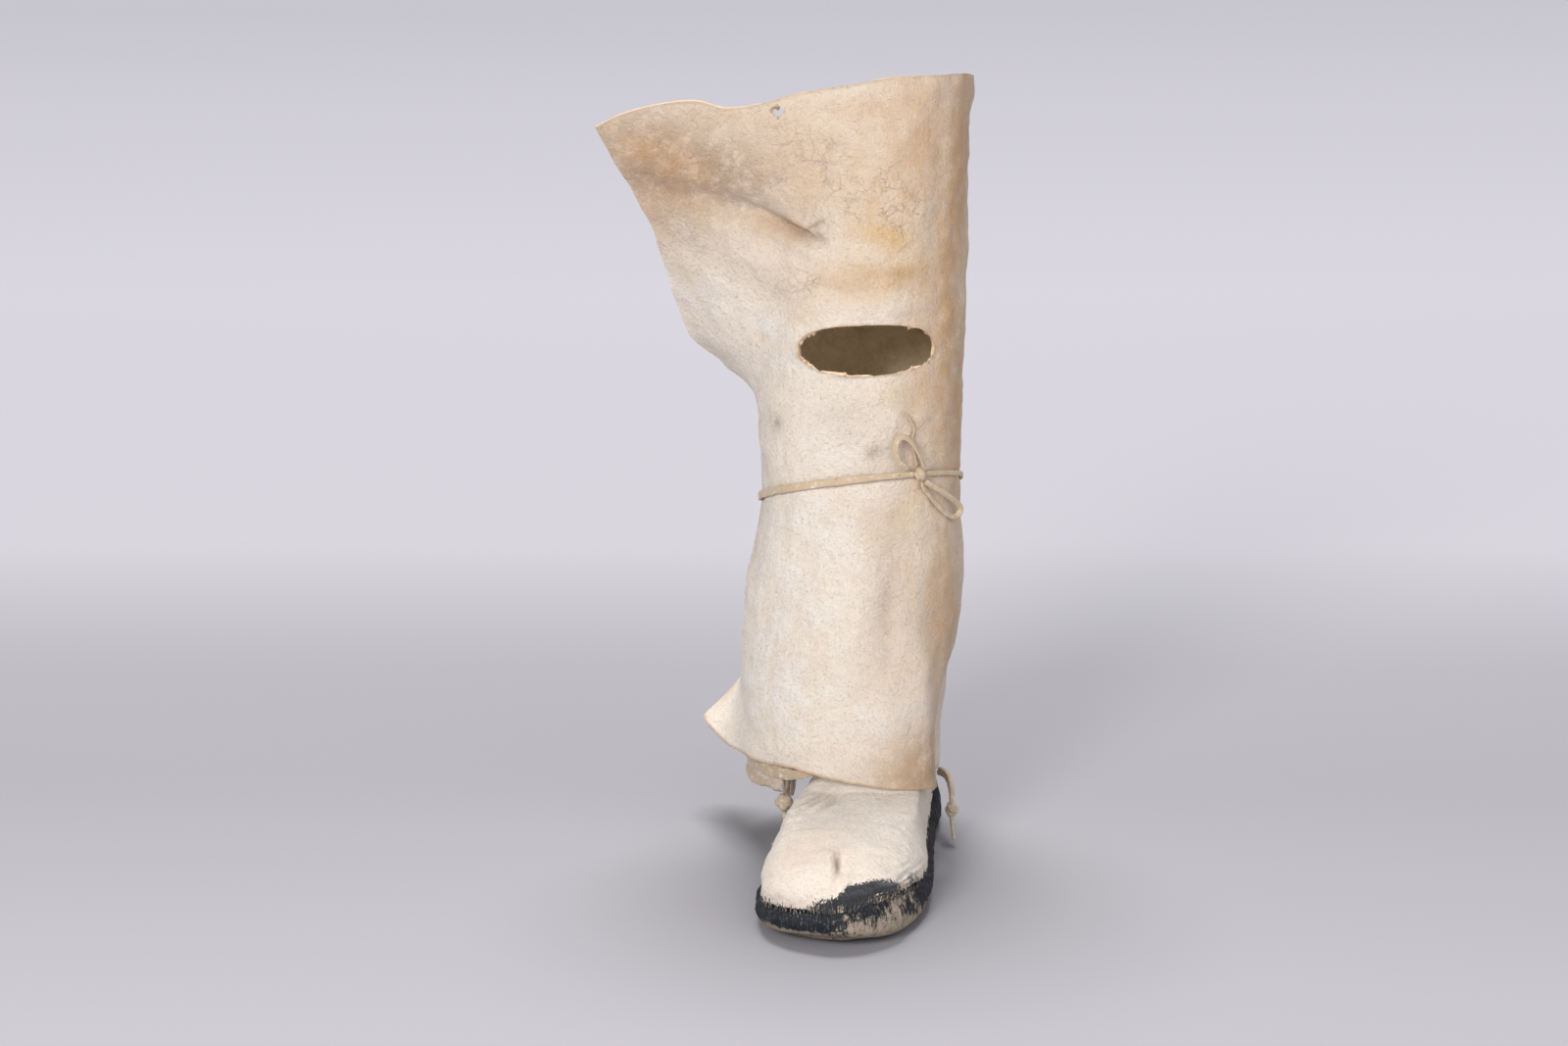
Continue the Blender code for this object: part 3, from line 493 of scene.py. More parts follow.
make_camera()
LEG = hide_finish("leg_hide_outside", (0.85, 0.75, 0.635), (0.74, 0.60, 0.46), (0.93, 0.87, 0.80))
FOOT_COLOURS = (0.78, 0.69, 0.605), (0.68, 0.585, 0.49), (0.84, 0.78, 0.715)
FOOT = hide_finish("foot_hide_outside", *FOOT_COLOURS, 0.90, dyed=True)
FLESH = flesh_finish("hide_inside")
EDGE = edge_finish("hide_cut_edge")
RAWHIDE = rawhide_finish("dyed_rawhide")
THONG = thong_finish("thong_hide", (0.56, 0.43, 0.29))
# The folded strips under the hem are coloured darker than the hide, as painted shade under the hem.
SHADED_FOLD = thong_finish("flap_edge_hide_shaded", (0.44, 0.34, 0.24))
# A greyer, darker thong hide, for the ankle and heel thongs.
GREY_THONG = thong_finish("grey_thong_hide", (0.50, 0.41, 0.31))
BLACK_THREAD = thong_finish("dyed_stitch", (0.03, 0.03, 0.035))


# Legging
def tube(angle, z, offset):
    up = z / SHAFT_HEIGHT
    cx, cy, rx, ry = (CALF_WIDTH * read(TUBE, n, up) for n in (1, 2, 3, 4))
    a = np.radians(angle)
    around = rx * ry / np.hypot(ry * np.cos(a), rx * np.sin(a))
    hem = 1 - ease((z - HEM_LEVEL) / HEM_FADE)
    r = around + (CALF_WIDTH * read(HEM, 1, angle) - around) * hem + offset
    return np.stack([cx + r * np.cos(a), cy + r * np.sin(a)], axis=-1)


def lap_offset(angle):
    return LAP_PITCH * (0.5 - (angle - FREE_EDGE[2][1]) / 360)


def on_lap(angle, z, out=0.0):
    return tube(angle, z, lap_offset(angle) + out)


def leg_plan(angle, z):
    """Where the hide lies in plan: round the tube, and off it from where it springs open."""
    up = z / SHAFT_HEIGHT
    start = np.maximum(angle, read(OPENING, 1, up))
    open_share = read(OPENING, 2, up)
    here = on_lap(start, z)
    run = on_lap(start - 0.5, z) - here
    first_heading = np.arctan2(run[..., 1], run[..., 0])
    half = (start - angle) / PLAN_STEPS / 2
    for k in range(PLAN_STEPS):
        a = start + (angle - start) * (k + 0.5) / PLAN_STEPS
        run = on_lap(a - half, z) - on_lap(a + half, z)
        length = np.hypot(run[..., 0], run[..., 1])
        turn = -np.mod(first_heading - np.arctan2(run[..., 1], run[..., 0]), 2 * math.pi)
        turn = np.where(turn < -1.75 * math.pi, 0.0, turn)
        heading = first_heading + turn * (1 - open_share * ease((start - a) / OPENING_EASE))
        here = here + length[..., None] * np.stack([np.cos(heading), np.sin(heading)], axis=-1)
    return here


def leg_bounds(angle):
    return SHAFT_HEIGHT * read(HEM, 2, angle) + HEM_LIFT, SHAFT_HEIGHT * read(TOP_EDGE, 1, angle)


# Creases of the legging: angle and height of the middle, half length, half width, degrees of slope of its long
# way, and how far it dips, minus for a ridge.
CREASES = [
    (-158, 0.38, 0.052, 0.0085, -14, 0.005), (-150, 0.353, 0.045, 0.011, -20, -0.004),
    (-131, 0.373, 0.024, 0.0034, -26, 0.0044), (-119, 0.369, 0.013, 0.0017, -14, 0.0042),
    (-124, 0.3645, 0.02, 0.0034, -20, -0.0036), (-110, 0.3735, 0.01, 0.0016, 25, 0.0022),
    (-106, 0.366, 0.01, 0.0016, -40, 0.0018), (-117, 0.381, 0.014, 0.0026, 60, 0.0018),
    (-108, 0.393, 0.022, 0.0026, 74, 0.0018), (-102, 0.41, 0.022, 0.0028, 84, 0.0014),
    (-70, 0.38, 0.022, 0.002, 12, 0.0008), (-60, 0.372, 0.02, 0.002, -10, 0.0008),
    (-66, 0.354, 0.024, 0.002, 6, 0.0008), (-54, 0.363, 0.018, 0.0018, 30, 0.0007),
    (-80, 0.347, 0.02, 0.002, -4, 0.0008), (-196, 0.412, 0.022, 0.004, 62, 0.0016),
    (-206, 0.418, 0.012, 0.003, 66, -0.0014), (-170, 0.405, 0.02, 0.004, 74, 0.0012),
    (-185, 0.345, 0.03, 0.02, -35, -0.003), (-200, 0.405, 0.03, 0.014, -30, -0.0025),
    (-126, 0.334, 0.014, 0.0028, 20, 0.0012), (-118, 0.33, 0.01, 0.0022, 40, 0.001),
    (-74, 0.3375, 0.036, 0.0045, 0, 0.0013), (-74, 0.329, 0.036, 0.005, 0, -0.001),
    (-64, 0.16, 0.042, 0.009, 88, 0.0022), (-80, 0.15, 0.04, 0.011, 84, -0.001),
    (-46, 0.13, 0.034, 0.008, 96, -0.0012), (-104, 0.2, 0.04, 0.012, 70, 0.0008),
    (-52, 0.275, 0.034, 0.007, 75, 0.001), (-36, 0.395, 0.05, 0.01, 84, 0.0016),
    (-60, 0.425, 0.03, 0.009, 60, -0.0012), (-135, 0.42, 0.03, 0.012, 80, -0.0016),
    (40, 0.3, 0.06, 0.012, 80, 0.0022), (80, 0.2, 0.05, 0.011, 100, 0.002),
    (110, 0.34, 0.06, 0.014, 76, 0.0022), (20, 0.11, 0.04, 0.01, 60, 0.0016),
]
PER_DEGREE = math.pi * CALF_WIDTH / 360


def on_leg(areas):
    """Areas given by angle and height, with the angle as metres round the leg."""
    return [(angle * PER_DEGREE, *rest) for angle, *rest in areas]


def tie_height(angle):
    a = np.radians(angle)
    return TIE_HEIGHT + TIE_SIDE_RISE * np.cos(a) - TIE_FRONT_RISE * np.sin(a)


def leg_relief(angle, z):
    """How far the hide stands off its plain form: creases, cockle, the tie's squeeze and the hem's roll."""
    x = angle * PER_DEGREE
    out = 0.0009 * waves(x, z, 0.060, 3) + 0.0005 * waves(x, z, 0.022, 5) + 0.00022 * waves(x, z, 0.009, 7)
    lapped = np.maximum(ease((angle - 128) / 20), ease((-168 - angle) / 12) * ease((0.290 - z) / 0.03))
    out = (out - spots(on_leg(CREASES), x, z).sum(0)) * (1 - 0.85 * lapped)
    out = out - 0.0010 * bell(z - tie_height(angle), 0.0045) * (1 - 0.7 * lapped)
    low, high = leg_bounds(angle)
    near_instep = ease((0.075 - z) / 0.02) * ease((angle + 112) / 14) * ease((-36 - angle) / 10)
    out = out * (1 - 0.9 * near_instep)
    out = out - 0.0042 * ease((0.110 - z) / 0.05) * ease((angle + 32) / 22) * ease((75 - angle) / 35)
    out = out + 0.0016 * ease(1 - (z - low) / 0.008) * ease((angle + 62) / 12) * ease((-20 - angle) / 18)
    return out + 0.0007 * waves(x, z * 0, 0.030, 11) * ease(1 - (high - z) / 0.02) * (1 - lapped)


# Painted fields of the legging: angle and height of the middle, half length, half width, slope, and how much.
TAN_AREAS = [
    (-196, 0.405, 0.05, 0.032, -20, 0.7), (-214, 0.38, 0.03, 0.022, -60, 0.5),
    (-100, 0.412, 0.12, 0.05, 0, 0.42), (-48, 0.418, 0.034, 0.06, 0, 0.72), (-44, 0.3, 0.016, 0.11, 0, 0.62),
    (-26, 0.32, 0.13, 0.02, 90, 0.92), (-44, 0.058, 0.03, 0.036, 0, 0.6), (-28, 0.15, 0.08, 0.018, 90, 0.8),
    (-18, 0.4, 0.09, 0.022, 90, 0.95), (-12, 0.26, 0.1, 0.02, 90, 0.85), (-16, 0.14, 0.07, 0.014, 90, 0.8),
    (-60, 0.44, 0.07, 0.014, 2, 0.55), (-150, 0.432, 0.06, 0.012, -4, 0.45),
    (-132, 0.371, 0.03, 0.012, -14, 0.55), (-214, 0.38, 0.05, 0.01, -62, 0.3),
    (-226, 0.075, 0.016, 0.012, 60, 0.6), (-75, 0.345, 0.06, 0.016, 0, 0.5), (-60, 0.2, 0.03, 0.022, 90, 0.35),
    (-50, 0.17, 0.09, 0.024, 90, 0.35), (-70, 0.395, 0.05, 0.05, 0, 0.42), (-110, 0.42, 0.05, 0.04, 0, 0.35),
    (14, 0.3, 0.2, 0.04, 90, 0.6), (70, 0.25, 0.2, 0.06, 90, 0.45), (150, 0.38, 0.06, 0.06, 0, 0.45),
]
STAIN_AREAS = [
    (-66, 0.391, 0.016, 0.01, 20, 1), (-68, 0.368, 0.018, 0.011, -20, 1), (-60, 0.346, 0.03, 0.01, 6, 0.9),
    (-100, 0.395, 0.024, 0.012, 10, 0.45), (-146.5, 0.3058, 0.0016, 0.0024, 0, 1),
    (-116, 0.322, 0.016, 0.006, 0, 0.55), (-44, 0.23, 0.03, 0.008, 60, 0.4), (-60, 0.28, 0.02, 0.008, 0, 0.35),
]
COCKLE_AREAS = [
    (-70, 0.375, 0.05, 0.04, 0, 1), (-112, 0.395, 0.04, 0.04, 0, 0.8), (-100, 0.34, 0.04, 0.012, 0, 0.8),
    (-190, 0.38, 0.06, 0.05, 0, 0.5), (-60, 0.14, 0.04, 0.05, 0, 0.25), (60, 0.25, 0.2, 0.2, 0, 0.3),
]
CLAY_AREAS = [
    (-142, 0.312, 0.022, 0.01, -10, 0.75), (-120, 0.3, 0.03, 0.012, 0, 0.6), (-112, 0.19, 0.06, 0.05, 0, 0.6),
    (-120, 0.105, 0.05, 0.03, 0, 0.75), (-66, 0.085, 0.03, 0.026, 0, 0.8), (-60, 0.14, 0.02, 0.03, 0, 0.55),
    (-170, 0.24, 0.07, 0.024, 90, 0.5), (-190, 0.33, 0.034, 0.02, -20, 0.55), (-95, 0.25, 0.03, 0.03, 0, 0.45),
    (-130, 0.14, 0.06, 0.03, 0, 0.6),
]
# Dark brown spots, partly dirt and partly painted shade: thin dark lines along the creases, the flared top on
# the outer side, the hem's lower edge towards the big-toe side, and bands up the big-toe side's edge where the
# hide turns away from the light.
DIRT_AND_SHADE_AREAS = [
    (-129, 0.3725, 0.018, 0.0017, -26, 1), (-118, 0.3688, 0.012, 0.0015, -14, 1),
    (-111, 0.3735, 0.009, 0.0013, 25, 0.9), (-133, 0.3775, 0.016, 0.0034, -26, 0.6),
    (-198, 0.405, 0.05, 0.034, -20, 1), (-168, 0.402, 0.044, 0.026, -16, 0.95),
    (-40, 0.055, 0.028, 0.034, 0, 1), (-8, 0.41, 0.06, 0.018, 86, 0.75), (-6, 0.27, 0.06, 0.016, 94, 0.45),
    (-4, 0.12, 0.05, 0.02, 90, 0.45), (120, 0.3, 0.06, 0.03, 70, 0.35), (-108, 0.368, 0.008, 0.005, -10, 0.45),
    (-62, 0.348, 0.01, 0.0022, 0, 0.45), (-134, 0.26, 0.006, 0.005, 0, 0.85),
    (-73, 0.2475, 0.006, 0.005, 0, 0.8), (-89, 0.265, 0.015, 0.012, 0, 0.3), (-64, 0.16, 0.045, 0.006, 88, 0.4),
    (-157, 0.392, 0.0016, 0.0016, 0, 1), (-200, 0.4203, 0.0022, 0.0012, 40, 1),
    (-160, 0.381, 0.045, 0.006, -14, 0.35), (-120, 0.06, 0.003, 0.003, 0, 0.6),
    (-47, 0.15, 0.01, 0.02, 0, 0.25),
]


def squared(u, v, width, above, below, squareness):
    """Under 1 inside a squared oval, 1 on it."""
    half_v = np.where(v > 0, above, below)
    return (np.abs(u / (width / 2)) ** squareness + np.abs(v / half_v) ** squareness) ** (1 / squareness)


def build_legging():
    heights = np.concatenate([HEM_ROWS, crowded(0, 1, LEG_ROWS, *LEG_ROW_CROWDS)[1:]])
    share, height = np.meshgrid(crowded(0, 1, LEG_COLUMNS, LEG_COLUMN_CROWD), heights)
    angle = INNER_EDGE + (read(FREE_EDGE, 1, height) - INNER_EDGE) * share
    low, high = leg_bounds(angle)
    z = low + (high - low) * height
    points = np.concatenate([leg_plan(angle, z), z[..., None]], axis=-1)
    # The window and the worn hole, in the plane each was cut in
    side = math.radians(WINDOW_ANGLE)
    middle = [CALF_WIDTH * float(read(TUBE, n, WINDOW_MIDDLE_Z / SHAFT_HEIGHT)) for n in (1, 2)]
    u = (points[..., 0] - middle[0]) * -math.sin(side) + (points[..., 1] - middle[1]) * math.cos(side)
    v = z - WINDOW_MIDDLE_Z
    window = squared(u, v, WINDOW_WIDTH, WINDOW_ABOVE, WINDOW_BELOW, WINDOW_SQUARENESS)
    window = window * (1 + 0.012 * waves(angle * PER_DEGREE, z, 0.006, 21))
    by_window = np.abs(angle - WINDOW_ANGLE) < 60
    hole_width, half_hole = WEAR_HOLE_SIZE[0], WEAR_HOLE_SIZE[1] / 2
    u, v = points[..., 0] - WEAR_HOLE[0], z - WEAR_HOLE[1]
    hole = squared(u, v, hole_width, half_hole, half_hole, 2.0)
    in_window, in_hole = by_window & (window < 1), (np.abs(angle + 130) < 30) & (hole < 1)
    n = normals_of(points)
    from_middle = points - np.array([middle[0], middle[1], 0.0])
    outward = np.sign(np.nanmean((from_middle * n)[..., :2].sum(-1)[:, : LEG_COLUMNS // 2]))
    cut_out = (in_window | in_hole).ravel()
    faces = [f if outward > 0 else f[::-1] for f in grid_faces(*angle.shape) if not cut_out[list(f)].all()]
    # Points just inside a cut move out onto its line, so that the cut is clean
    kept = np.zeros(angle.size, bool)
    kept[np.unique(np.array(faces).ravel())] = True
    kept = kept.reshape(angle.shape)
    for field, within in ((window, in_window), (hole, in_hole)):
        across, up = np.gradient(points, axis=1), np.gradient(points, axis=0)
        by_row, by_column = np.gradient(field)
        push = (1 - field) / np.maximum(by_row**2 + by_column**2, 1e-9)
        shift = (by_column * push)[..., None] * across + (by_row * push)[..., None] * up
        shift *= np.minimum(1, 0.0030 / np.maximum(np.linalg.norm(shift, axis=-1), 1e-9))[..., None]
        points = np.where((kept & within)[..., None], points + shift, points)
    points = points + n * outward * leg_relief(angle, z)[..., None]
    # The hide is darker along its cut edges
    cut = np.maximum(bell(z - low, 0.0012), 0.5 * bell(high - z, 0.0012))
    cut = np.maximum(cut, 0.7 * by_window * bell(np.maximum(window - 1, 0), 0.03))
    painted = dict(tan=TAN_AREAS, stain=STAIN_AREAS, clay=CLAY_AREAS, smudge=DIRT_AND_SHADE_AREAS, cockle=COCKLE_AREAS)
    fields = {key: spots(on_leg(areas), angle * PER_DEGREE, z).max(0) for key, areas in painted.items()}
    fields["tan"] = np.maximum(fields["tan"], 0.9 * cut)
    fields["smudge"] = np.maximum(fields["smudge"], 0.7 * cut)
    legging = add_mesh("legging_hide", points, faces, LEG, FLESH, EDGE, **fields)
    bm = bmesh.new()
    bm.from_mesh(legging.data)
    bmesh.ops.delete(bm, geom=[v for v in bm.verts if not kept.flat[v.index]], context="VERTS")
    bm.to_mesh(legging.data)
    bm.free()
    wall(legging, LEG_HIDE)
    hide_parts("legging")


# Sole and upper
def sole_edge(t):
    rows = np.array(SOLE_EDGE)
    k = np.floor(t).astype(int)
    return spline(*(rows[(k + n) % len(rows)] for n in (-1, 0, 1, 2)), (t - k)[:, None])


def plan(along, across):
    return np.stack([across * BALL_WIDTH, HEEL_BACK - FOOT_LENGTH * (1 - along)], axis=-1)


def ground(y):
    spring = np.clip((HEEL_BACK - FOOT_LENGTH + SPRING_LENGTH - y) / SPRING_LENGTH, 0, 1)
    arch = np.clip((y - ARCH_FRONT) / (ARCH_BACK - ARCH_FRONT), 0, 1)
    return TOE_SPRING * spring**2 + ARCH_RISE * np.sin(math.pi * arch) ** 2


def edge_frame(t):
    """Points of the sole's edge, the way out from each, the rim's height and how far the rim leans in."""
    points, before, after = (plan(*sole_edge(t + step)[:, :2].T) for step in (0, -0.02, 0.02))
    run = unit(after - before)
    rim = sole_edge(t)[:, 2] * RIM_HEIGHT
    return points, np.stack([run[:, 1], -run[:, 0]], axis=-1), rim, RIM_LEAN * (0.5 + 0.5 * rim / RIM_HEIGHT)


def sole_profile(rim, lean, thick):
    """How far in and how high each ring of the sole's side lies, from the ground up."""
    arc = np.linspace(0, math.pi / 2, SOLE_ARC_ROWS)[:, None] + 0 * rim
    share = np.linspace(0, 1, SOLE_SIDE_ROWS + 1)[1:, None]
    inset = np.concatenate([EDGE_ROUND * (1 - np.sin(arc)), lean * share * share])
    up = np.concatenate([EDGE_RISE * (1 - np.cos(arc)), EDGE_RISE + (rim - EDGE_RISE) * share])
    d_inset, d_up = np.gradient(inset, axis=0), np.gradient(up, axis=0)
    d_up[0] = 0
    size = np.hypot(d_inset, d_up)
    inset, up = inset + thick * d_up / size, up - thick * d_inset / size
    up[-1] = rim
    return inset, up


def stack(points, z):
    return np.concatenate([points, z[..., None]], axis=-1)


def fill_floor(points, values, first, count, height, up):
    """Closes a foot-shaped ring of points with rows across it."""
    ring = np.array(points[first : first + count])
    rows = [[first]]
    for i in range(1, count // 2):
        row = [first + i]
        for s in np.linspace(0, 1, FLOOR_STEPS)[1:-1]:
            x, y = ring[i, :2] * (1 - s) + ring[count - i, :2] * s
            row.append(len(points))
            points.append((x, y, height + float(ground(y))))
            values.append(0.0)
        rows.append(row + [first + count - i])
    rows.append([first + count // 2])
    faces = []
    for here, after in zip(rows, rows[1:]):
        for k in range(max(len(here), len(after)) - 1):
            corners = here[k : k + 2] if len(here) > 1 else here
            faces.append(tuple(corners + (after[k : k + 2][::-1] if len(after) > 1 else after)))
    return [f[::-1] for f in faces] if up else faces


# Where the dye is worn off the sole's side: row of the sole's edge, height, half length in rows, half height,
# and how much.
WORN_AREAS = [
    (1.05, 0.005, 0.75, 0.008, 0.8), (2, 0.004, 1, 0.008, 0.75), (3, 0.002, 0.8, 0.006, 0.7),
    (1.7, 0.017, 0.6, 0.008, 0.45), (2.3, 0.0215, 0.5, 0.005, 0.4), (0.45, 0.012, 0.3, 0.006, 0.3),
    (15.3, 0.003, 1, 0.0026, 0.75), (14, 0.003, 0.9, 0.0026, 0.75), (14.6, 0.006, 0.4, 0.004, 0.35),
    (6.8, 0.006, 0.5, 0.004, 0.6), (9.4, 0.01, 0.4, 0.006, 0.55), (12, 0.004, 0.6, 0.005, 0.6),
]


def build_sole():
    t = np.arange(SOLE_COLUMNS) * len(SOLE_EDGE) / SOLE_COLUMNS
    edge, out, rim, lean = edge_frame(t)
    run = run_of(edge)
    rings, values = [], []
    for thick in (0.0, SOLE_WALL):
        side, dyes = [], []
        insets, ups = sole_profile(rim, lean, thick)
        for k, (inset, up) in enumerate(zip(insets, ups)):
            crimp = 0.00022 * np.sin(2 * math.pi * run / 0.0026 + 2.2 * waves(run, 0 * run, 0.011, 31))
            crimp = crimp + 0.00040 * waves(run, up * 0.4, 0.007, 32) + 0.0005 * waves(run, up, 0.022, 33)
            crimp = crimp * ease((up - 0.0035) / 0.005) * (thick == 0)
            ragged = 0.0007 * waves(run, 0 * run, 0.0045, 34) * ease((up - rim * 0.72) / (rim * 0.28))
            side.append(stack(edge - out * (inset - crimp)[:, None], up + ragged + ground(edge[:, 1])))
            if thick:
                dye = 0.15 + 0.5 * (k == len(ups) - 1) + 0 * run
            else:
                dye = 0.60 * ease((up - 0.0003) / 0.0022)
                for row, height, half, tall, much in WORN_AREAS:
                    near = np.minimum(np.abs(t - row), len(SOLE_EDGE) - np.abs(t - row))
                    dye = dye * (1 - much * bell(near, half) * bell(up - height, tall))
            dyes.append(dye)
        rings += side[::-1] if thick else side
        values += dyes[::-1] if thick else dyes
    points = [tuple(p) for p in np.concatenate(rings)]
    values = np.concatenate(values).tolist()
    faces = grid_faces(len(rings), SOLE_COLUMNS, wrap=True)
    faces += fill_floor(points, values, 0, SOLE_COLUMNS, 0.0, up=False)
    faces += fill_floor(points, values, (len(rings) - 1) * SOLE_COLUMNS, SOLE_COLUMNS, SOLE_WALL, up=True)
    sole = add_mesh("sole_rawhide", points, faces, RAWHIDE, dye=values)
    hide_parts("sole")


def upper_rings(t):
    edge, out, rim, lean = edge_frame(t)
    along, across, _ = sole_edge(t).T
    lift = ground(edge[:, 1])
    seat = lean + SOLE_WALL + 1.6 * GAP
    tucked = np.maximum(seat - (TUCK / rim) * 0.6 * lean, SOLE_WALL + 2 * GAP)
    rings = [
        stack(edge - out * tucked[:, None], rim - TUCK + lift),
        stack(edge - out * seat[:, None], rim + lift),
    ]
    seam_t = np.minimum(t, len(SOLE_EDGE) - t)
    proud = SEAM_STEP * ease((seam_t - SEAM_ROW + SEAM_HALF) / (2 * SEAM_HALF))
    for front, back, ball, heel, rise, *heights in UPPER_RINGS:
        share = front + (1 - front - back) * along
        points = plan(share, across * (ball + (heel - ball) * ease(along)))
        high = COLLAR_HEIGHT * smooth((0, SIDE_SHARE, 1), heights, along)
        rings.append(stack(points + out * proud[:, None], rim + (high - rim) * rise + lift * (1 - rise)))
    return np.array(rings)


# Creases of the foot: place in plan, half length, half width, degrees of its long way, and how far it dips.
FOOT_CREASES = [
    (0.004, -0.1775, 0.01, 0.0024, 103, 0.0026), (0.0046, -0.178, 0.0085, 0.0011, 103, 0.003),
    (-0.001, -0.176, 0.011, 0.0036, 103, -0.0012), (0.0075, -0.19, 0.008, 0.0024, 100, 0.0018),
    (0.004, -0.196, 0.009, 0.004, 97, -0.0018), (0.012, -0.195, 0.009, 0.003, 99, -0.0012),
    (0.015, -0.188, 0.006, 0.0016, 60, 0.001), (-0.0134, -0.1, 0.013, 0.0026, 70, 0.0026),
    (-0.0195, -0.098, 0.012, 0.0024, 62, 0.0024), (-0.025, -0.095, 0.011, 0.0024, 55, 0.002),
    (-0.0165, -0.099, 0.012, 0.002, 66, -0.0012), (-0.014, -0.1394, 0.02, 0.0018, 14, 0.0009),
    (-0.02, -0.1254, 0.018, 0.0018, 20, 0.0009), (0.018, -0.128, 0.024, 0.002, -8, 0.0007),
    (0.02, -0.142, 0.022, 0.0018, -4, 0.0006), (-0.006, -0.115, 0.022, 0.0022, 8, 0.0008),
    (0.028, -0.164, 0.016, 0.0018, 24, 0.0009), (-0.03, -0.15, 0.02, 0.002, 100, 0.0006),
    (0.004, -0.148, 0.03, 0.02, 90, -0.0012), (0.03, -0.15, 0.02, 0.008, 60, 0.0008),
    (-0.025, -0.16, 0.022, 0.008, 110, 0.0006),
]
# Painted fields of the foot: place in plan, half length, half width, degrees of its long way, and how much.
FOOT_PAINT = dict(
    tan=[(-0.012, -0.170, 0.020, 0.016, 0, 0.22)],
    stain=[(-0.015, -0.1394, 0.012, 0.0016, 14, 0.75), (-0.008, -0.1262, 0.008, 0.0016, 14, 0.5)],
    cockle=[(0.020, -0.150, 0.040, 0.050, 0, 0.35), (-0.018, -0.098, 0.02, 0.012, 0, 0.5)],
    clay=[(0.010, -0.118, 0.040, 0.020, 0, 0.40), (0.024, -0.155, 0.022, 0.022, 0, 0.28)],
    # Thin dark lines along the vamp's creases and the folds by the hem: painted shade in the creases.
    smudge=[
        (-0.0140, -0.0985, 0.012, 0.0018, 70, 0.55),
        (-0.0195, -0.0970, 0.012, 0.0016, 62, 0.45),
        (0.0046, -0.1780, 0.009, 0.0010, 103, 1.0),
        (-0.0240, -0.0950, 0.014, 0.004, 58, 0.5),
        (0.0330, -0.1760, 0.010, 0.004, 20, 0.30),
    ],
)
# How far the black dye reaches up over the hide: row of the sole's edge, and level in rings above the rim.
DYE_REACH = [
    (0, 1.3), (1.5, 1.8), (3, 1.6), (4, 1.35), (8, 1.3), (14, 1.4), (15, 1.45), (16, 1.3),
]
# The dyed patch by the big toe: degrees round a point behind it, and how far the patch's edge is from there.
TOE_POINT = (0.0, -0.150)
TOE_DYE = [
    (-180, 0.3), (-128, 0.3), (-114, 0.062), (-98, 0.0545), (-90, 0.0535), (-81, 0.0535), (-73, 0.049),
    (-60, 0.047), (-47, 0.046),
    (-30, 0.0465), (-14, 0.0435), (0, 0.045), (20, 0.3), (180, 0.3),
]
UNDER_LEGGING = -0.103  # behind this Y the foot is under the legging


def foot_dye(row, level, x, y):
    x, y = x - TOE_POINT[0], y - TOE_POINT[1]
    edge = read(TOE_DYE, 1, np.degrees(np.arctan2(y, x)))
    patch = 0.5 + (np.hypot(x, y) - edge) / 0.0075
    return np.clip(np.maximum(0.5 + (read(DYE_REACH, 1, row) - level) * 1.1, patch), 0, 1)


def upper_turns():
    """Rows of the sole's edge at which the upper's points lie, closest together over the toe."""
    return (crowded(-7.4, 8.6, UPPER_COLUMNS + 1, (0.6, 1.5, 2.2))[:-1]) % len(SOLE_EDGE)


def build_upper():
    t = upper_turns()
    table = upper_rings(t)
    at = crowded(0, len(table) - 1, UPPER_ROWS, UPPER_ROW_CROWD)
    grid = np.empty((UPPER_ROWS, UPPER_COLUMNS, 3))
    for i, n in np.ndindex(UPPER_COLUMNS, 3):
        grid[:, i, n] = smooth(np.arange(len(table)), table[:, i, n], at)
    level, row = np.meshgrid(at, t, indexing="ij")
    x, y, z = np.moveaxis(grid, -1, 0)
    n = normals_of(grid, wrap=True)
    half_way = UPPER_ROWS // 2
    if (n[half_way] * (grid[half_way] - grid[half_way].mean(0))).sum() < 0:
        n = -n
    out = sum(high * waves(x, y + z, size, seed) for high, size, seed in UPPER_WAVES)
    out = out - spots(FOOT_CREASES, x, y).sum(0)
    # Concentric wrinkles where the hide is drawn in at the big-toe bump, and small gathers all round the rim
    bump = bell(row - 1.95, 0.85) * ease((level - 1.2) / 0.6) * ease((5.2 - level) / 2.0)
    out = out + 0.00045 * bump * np.sin(2 * math.pi * level / 0.62 + 1.6 * waves(row, level, 0.9, 44))
    gathers = ease((level - 1.0) / 0.4) * ease((3.6 - level) / 1.6)
    out = out + 0.00028 * gathers * np.sin(2 * math.pi * row / 0.105 + 1.5 * waves(row, level, 0.6, 45))
    out = out * ease((level - 0.9) / 0.5)
    # Under the legging the foot keeps just clear of it
    under = ease((y - UNDER_LEGGING) / 0.010)
    out = np.where(out > 0, out * (1 - under), out) - 0.0001 * under
    fields = {key: spots(areas, x, y).sum(0) for key, areas in FOOT_PAINT.items()}
    fields["tan"] += 0.75 * bell(level - 1.6, 0.8) * bell(row - 1.3, 1.6) + 0.35 * bell(level - 1.4, 0.6)
    fields["dye"] = foot_dye(row, level, x, y)
    points = grid + n * out[..., None]
    faces = grid_faces(UPPER_ROWS, UPPER_COLUMNS, wrap=True)
    upper = add_mesh("upper_hide", points, faces, FOOT, FLESH, EDGE, **fields)
    wall(upper, UPPER_HIDE)
    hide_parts("upper")
    return points, n


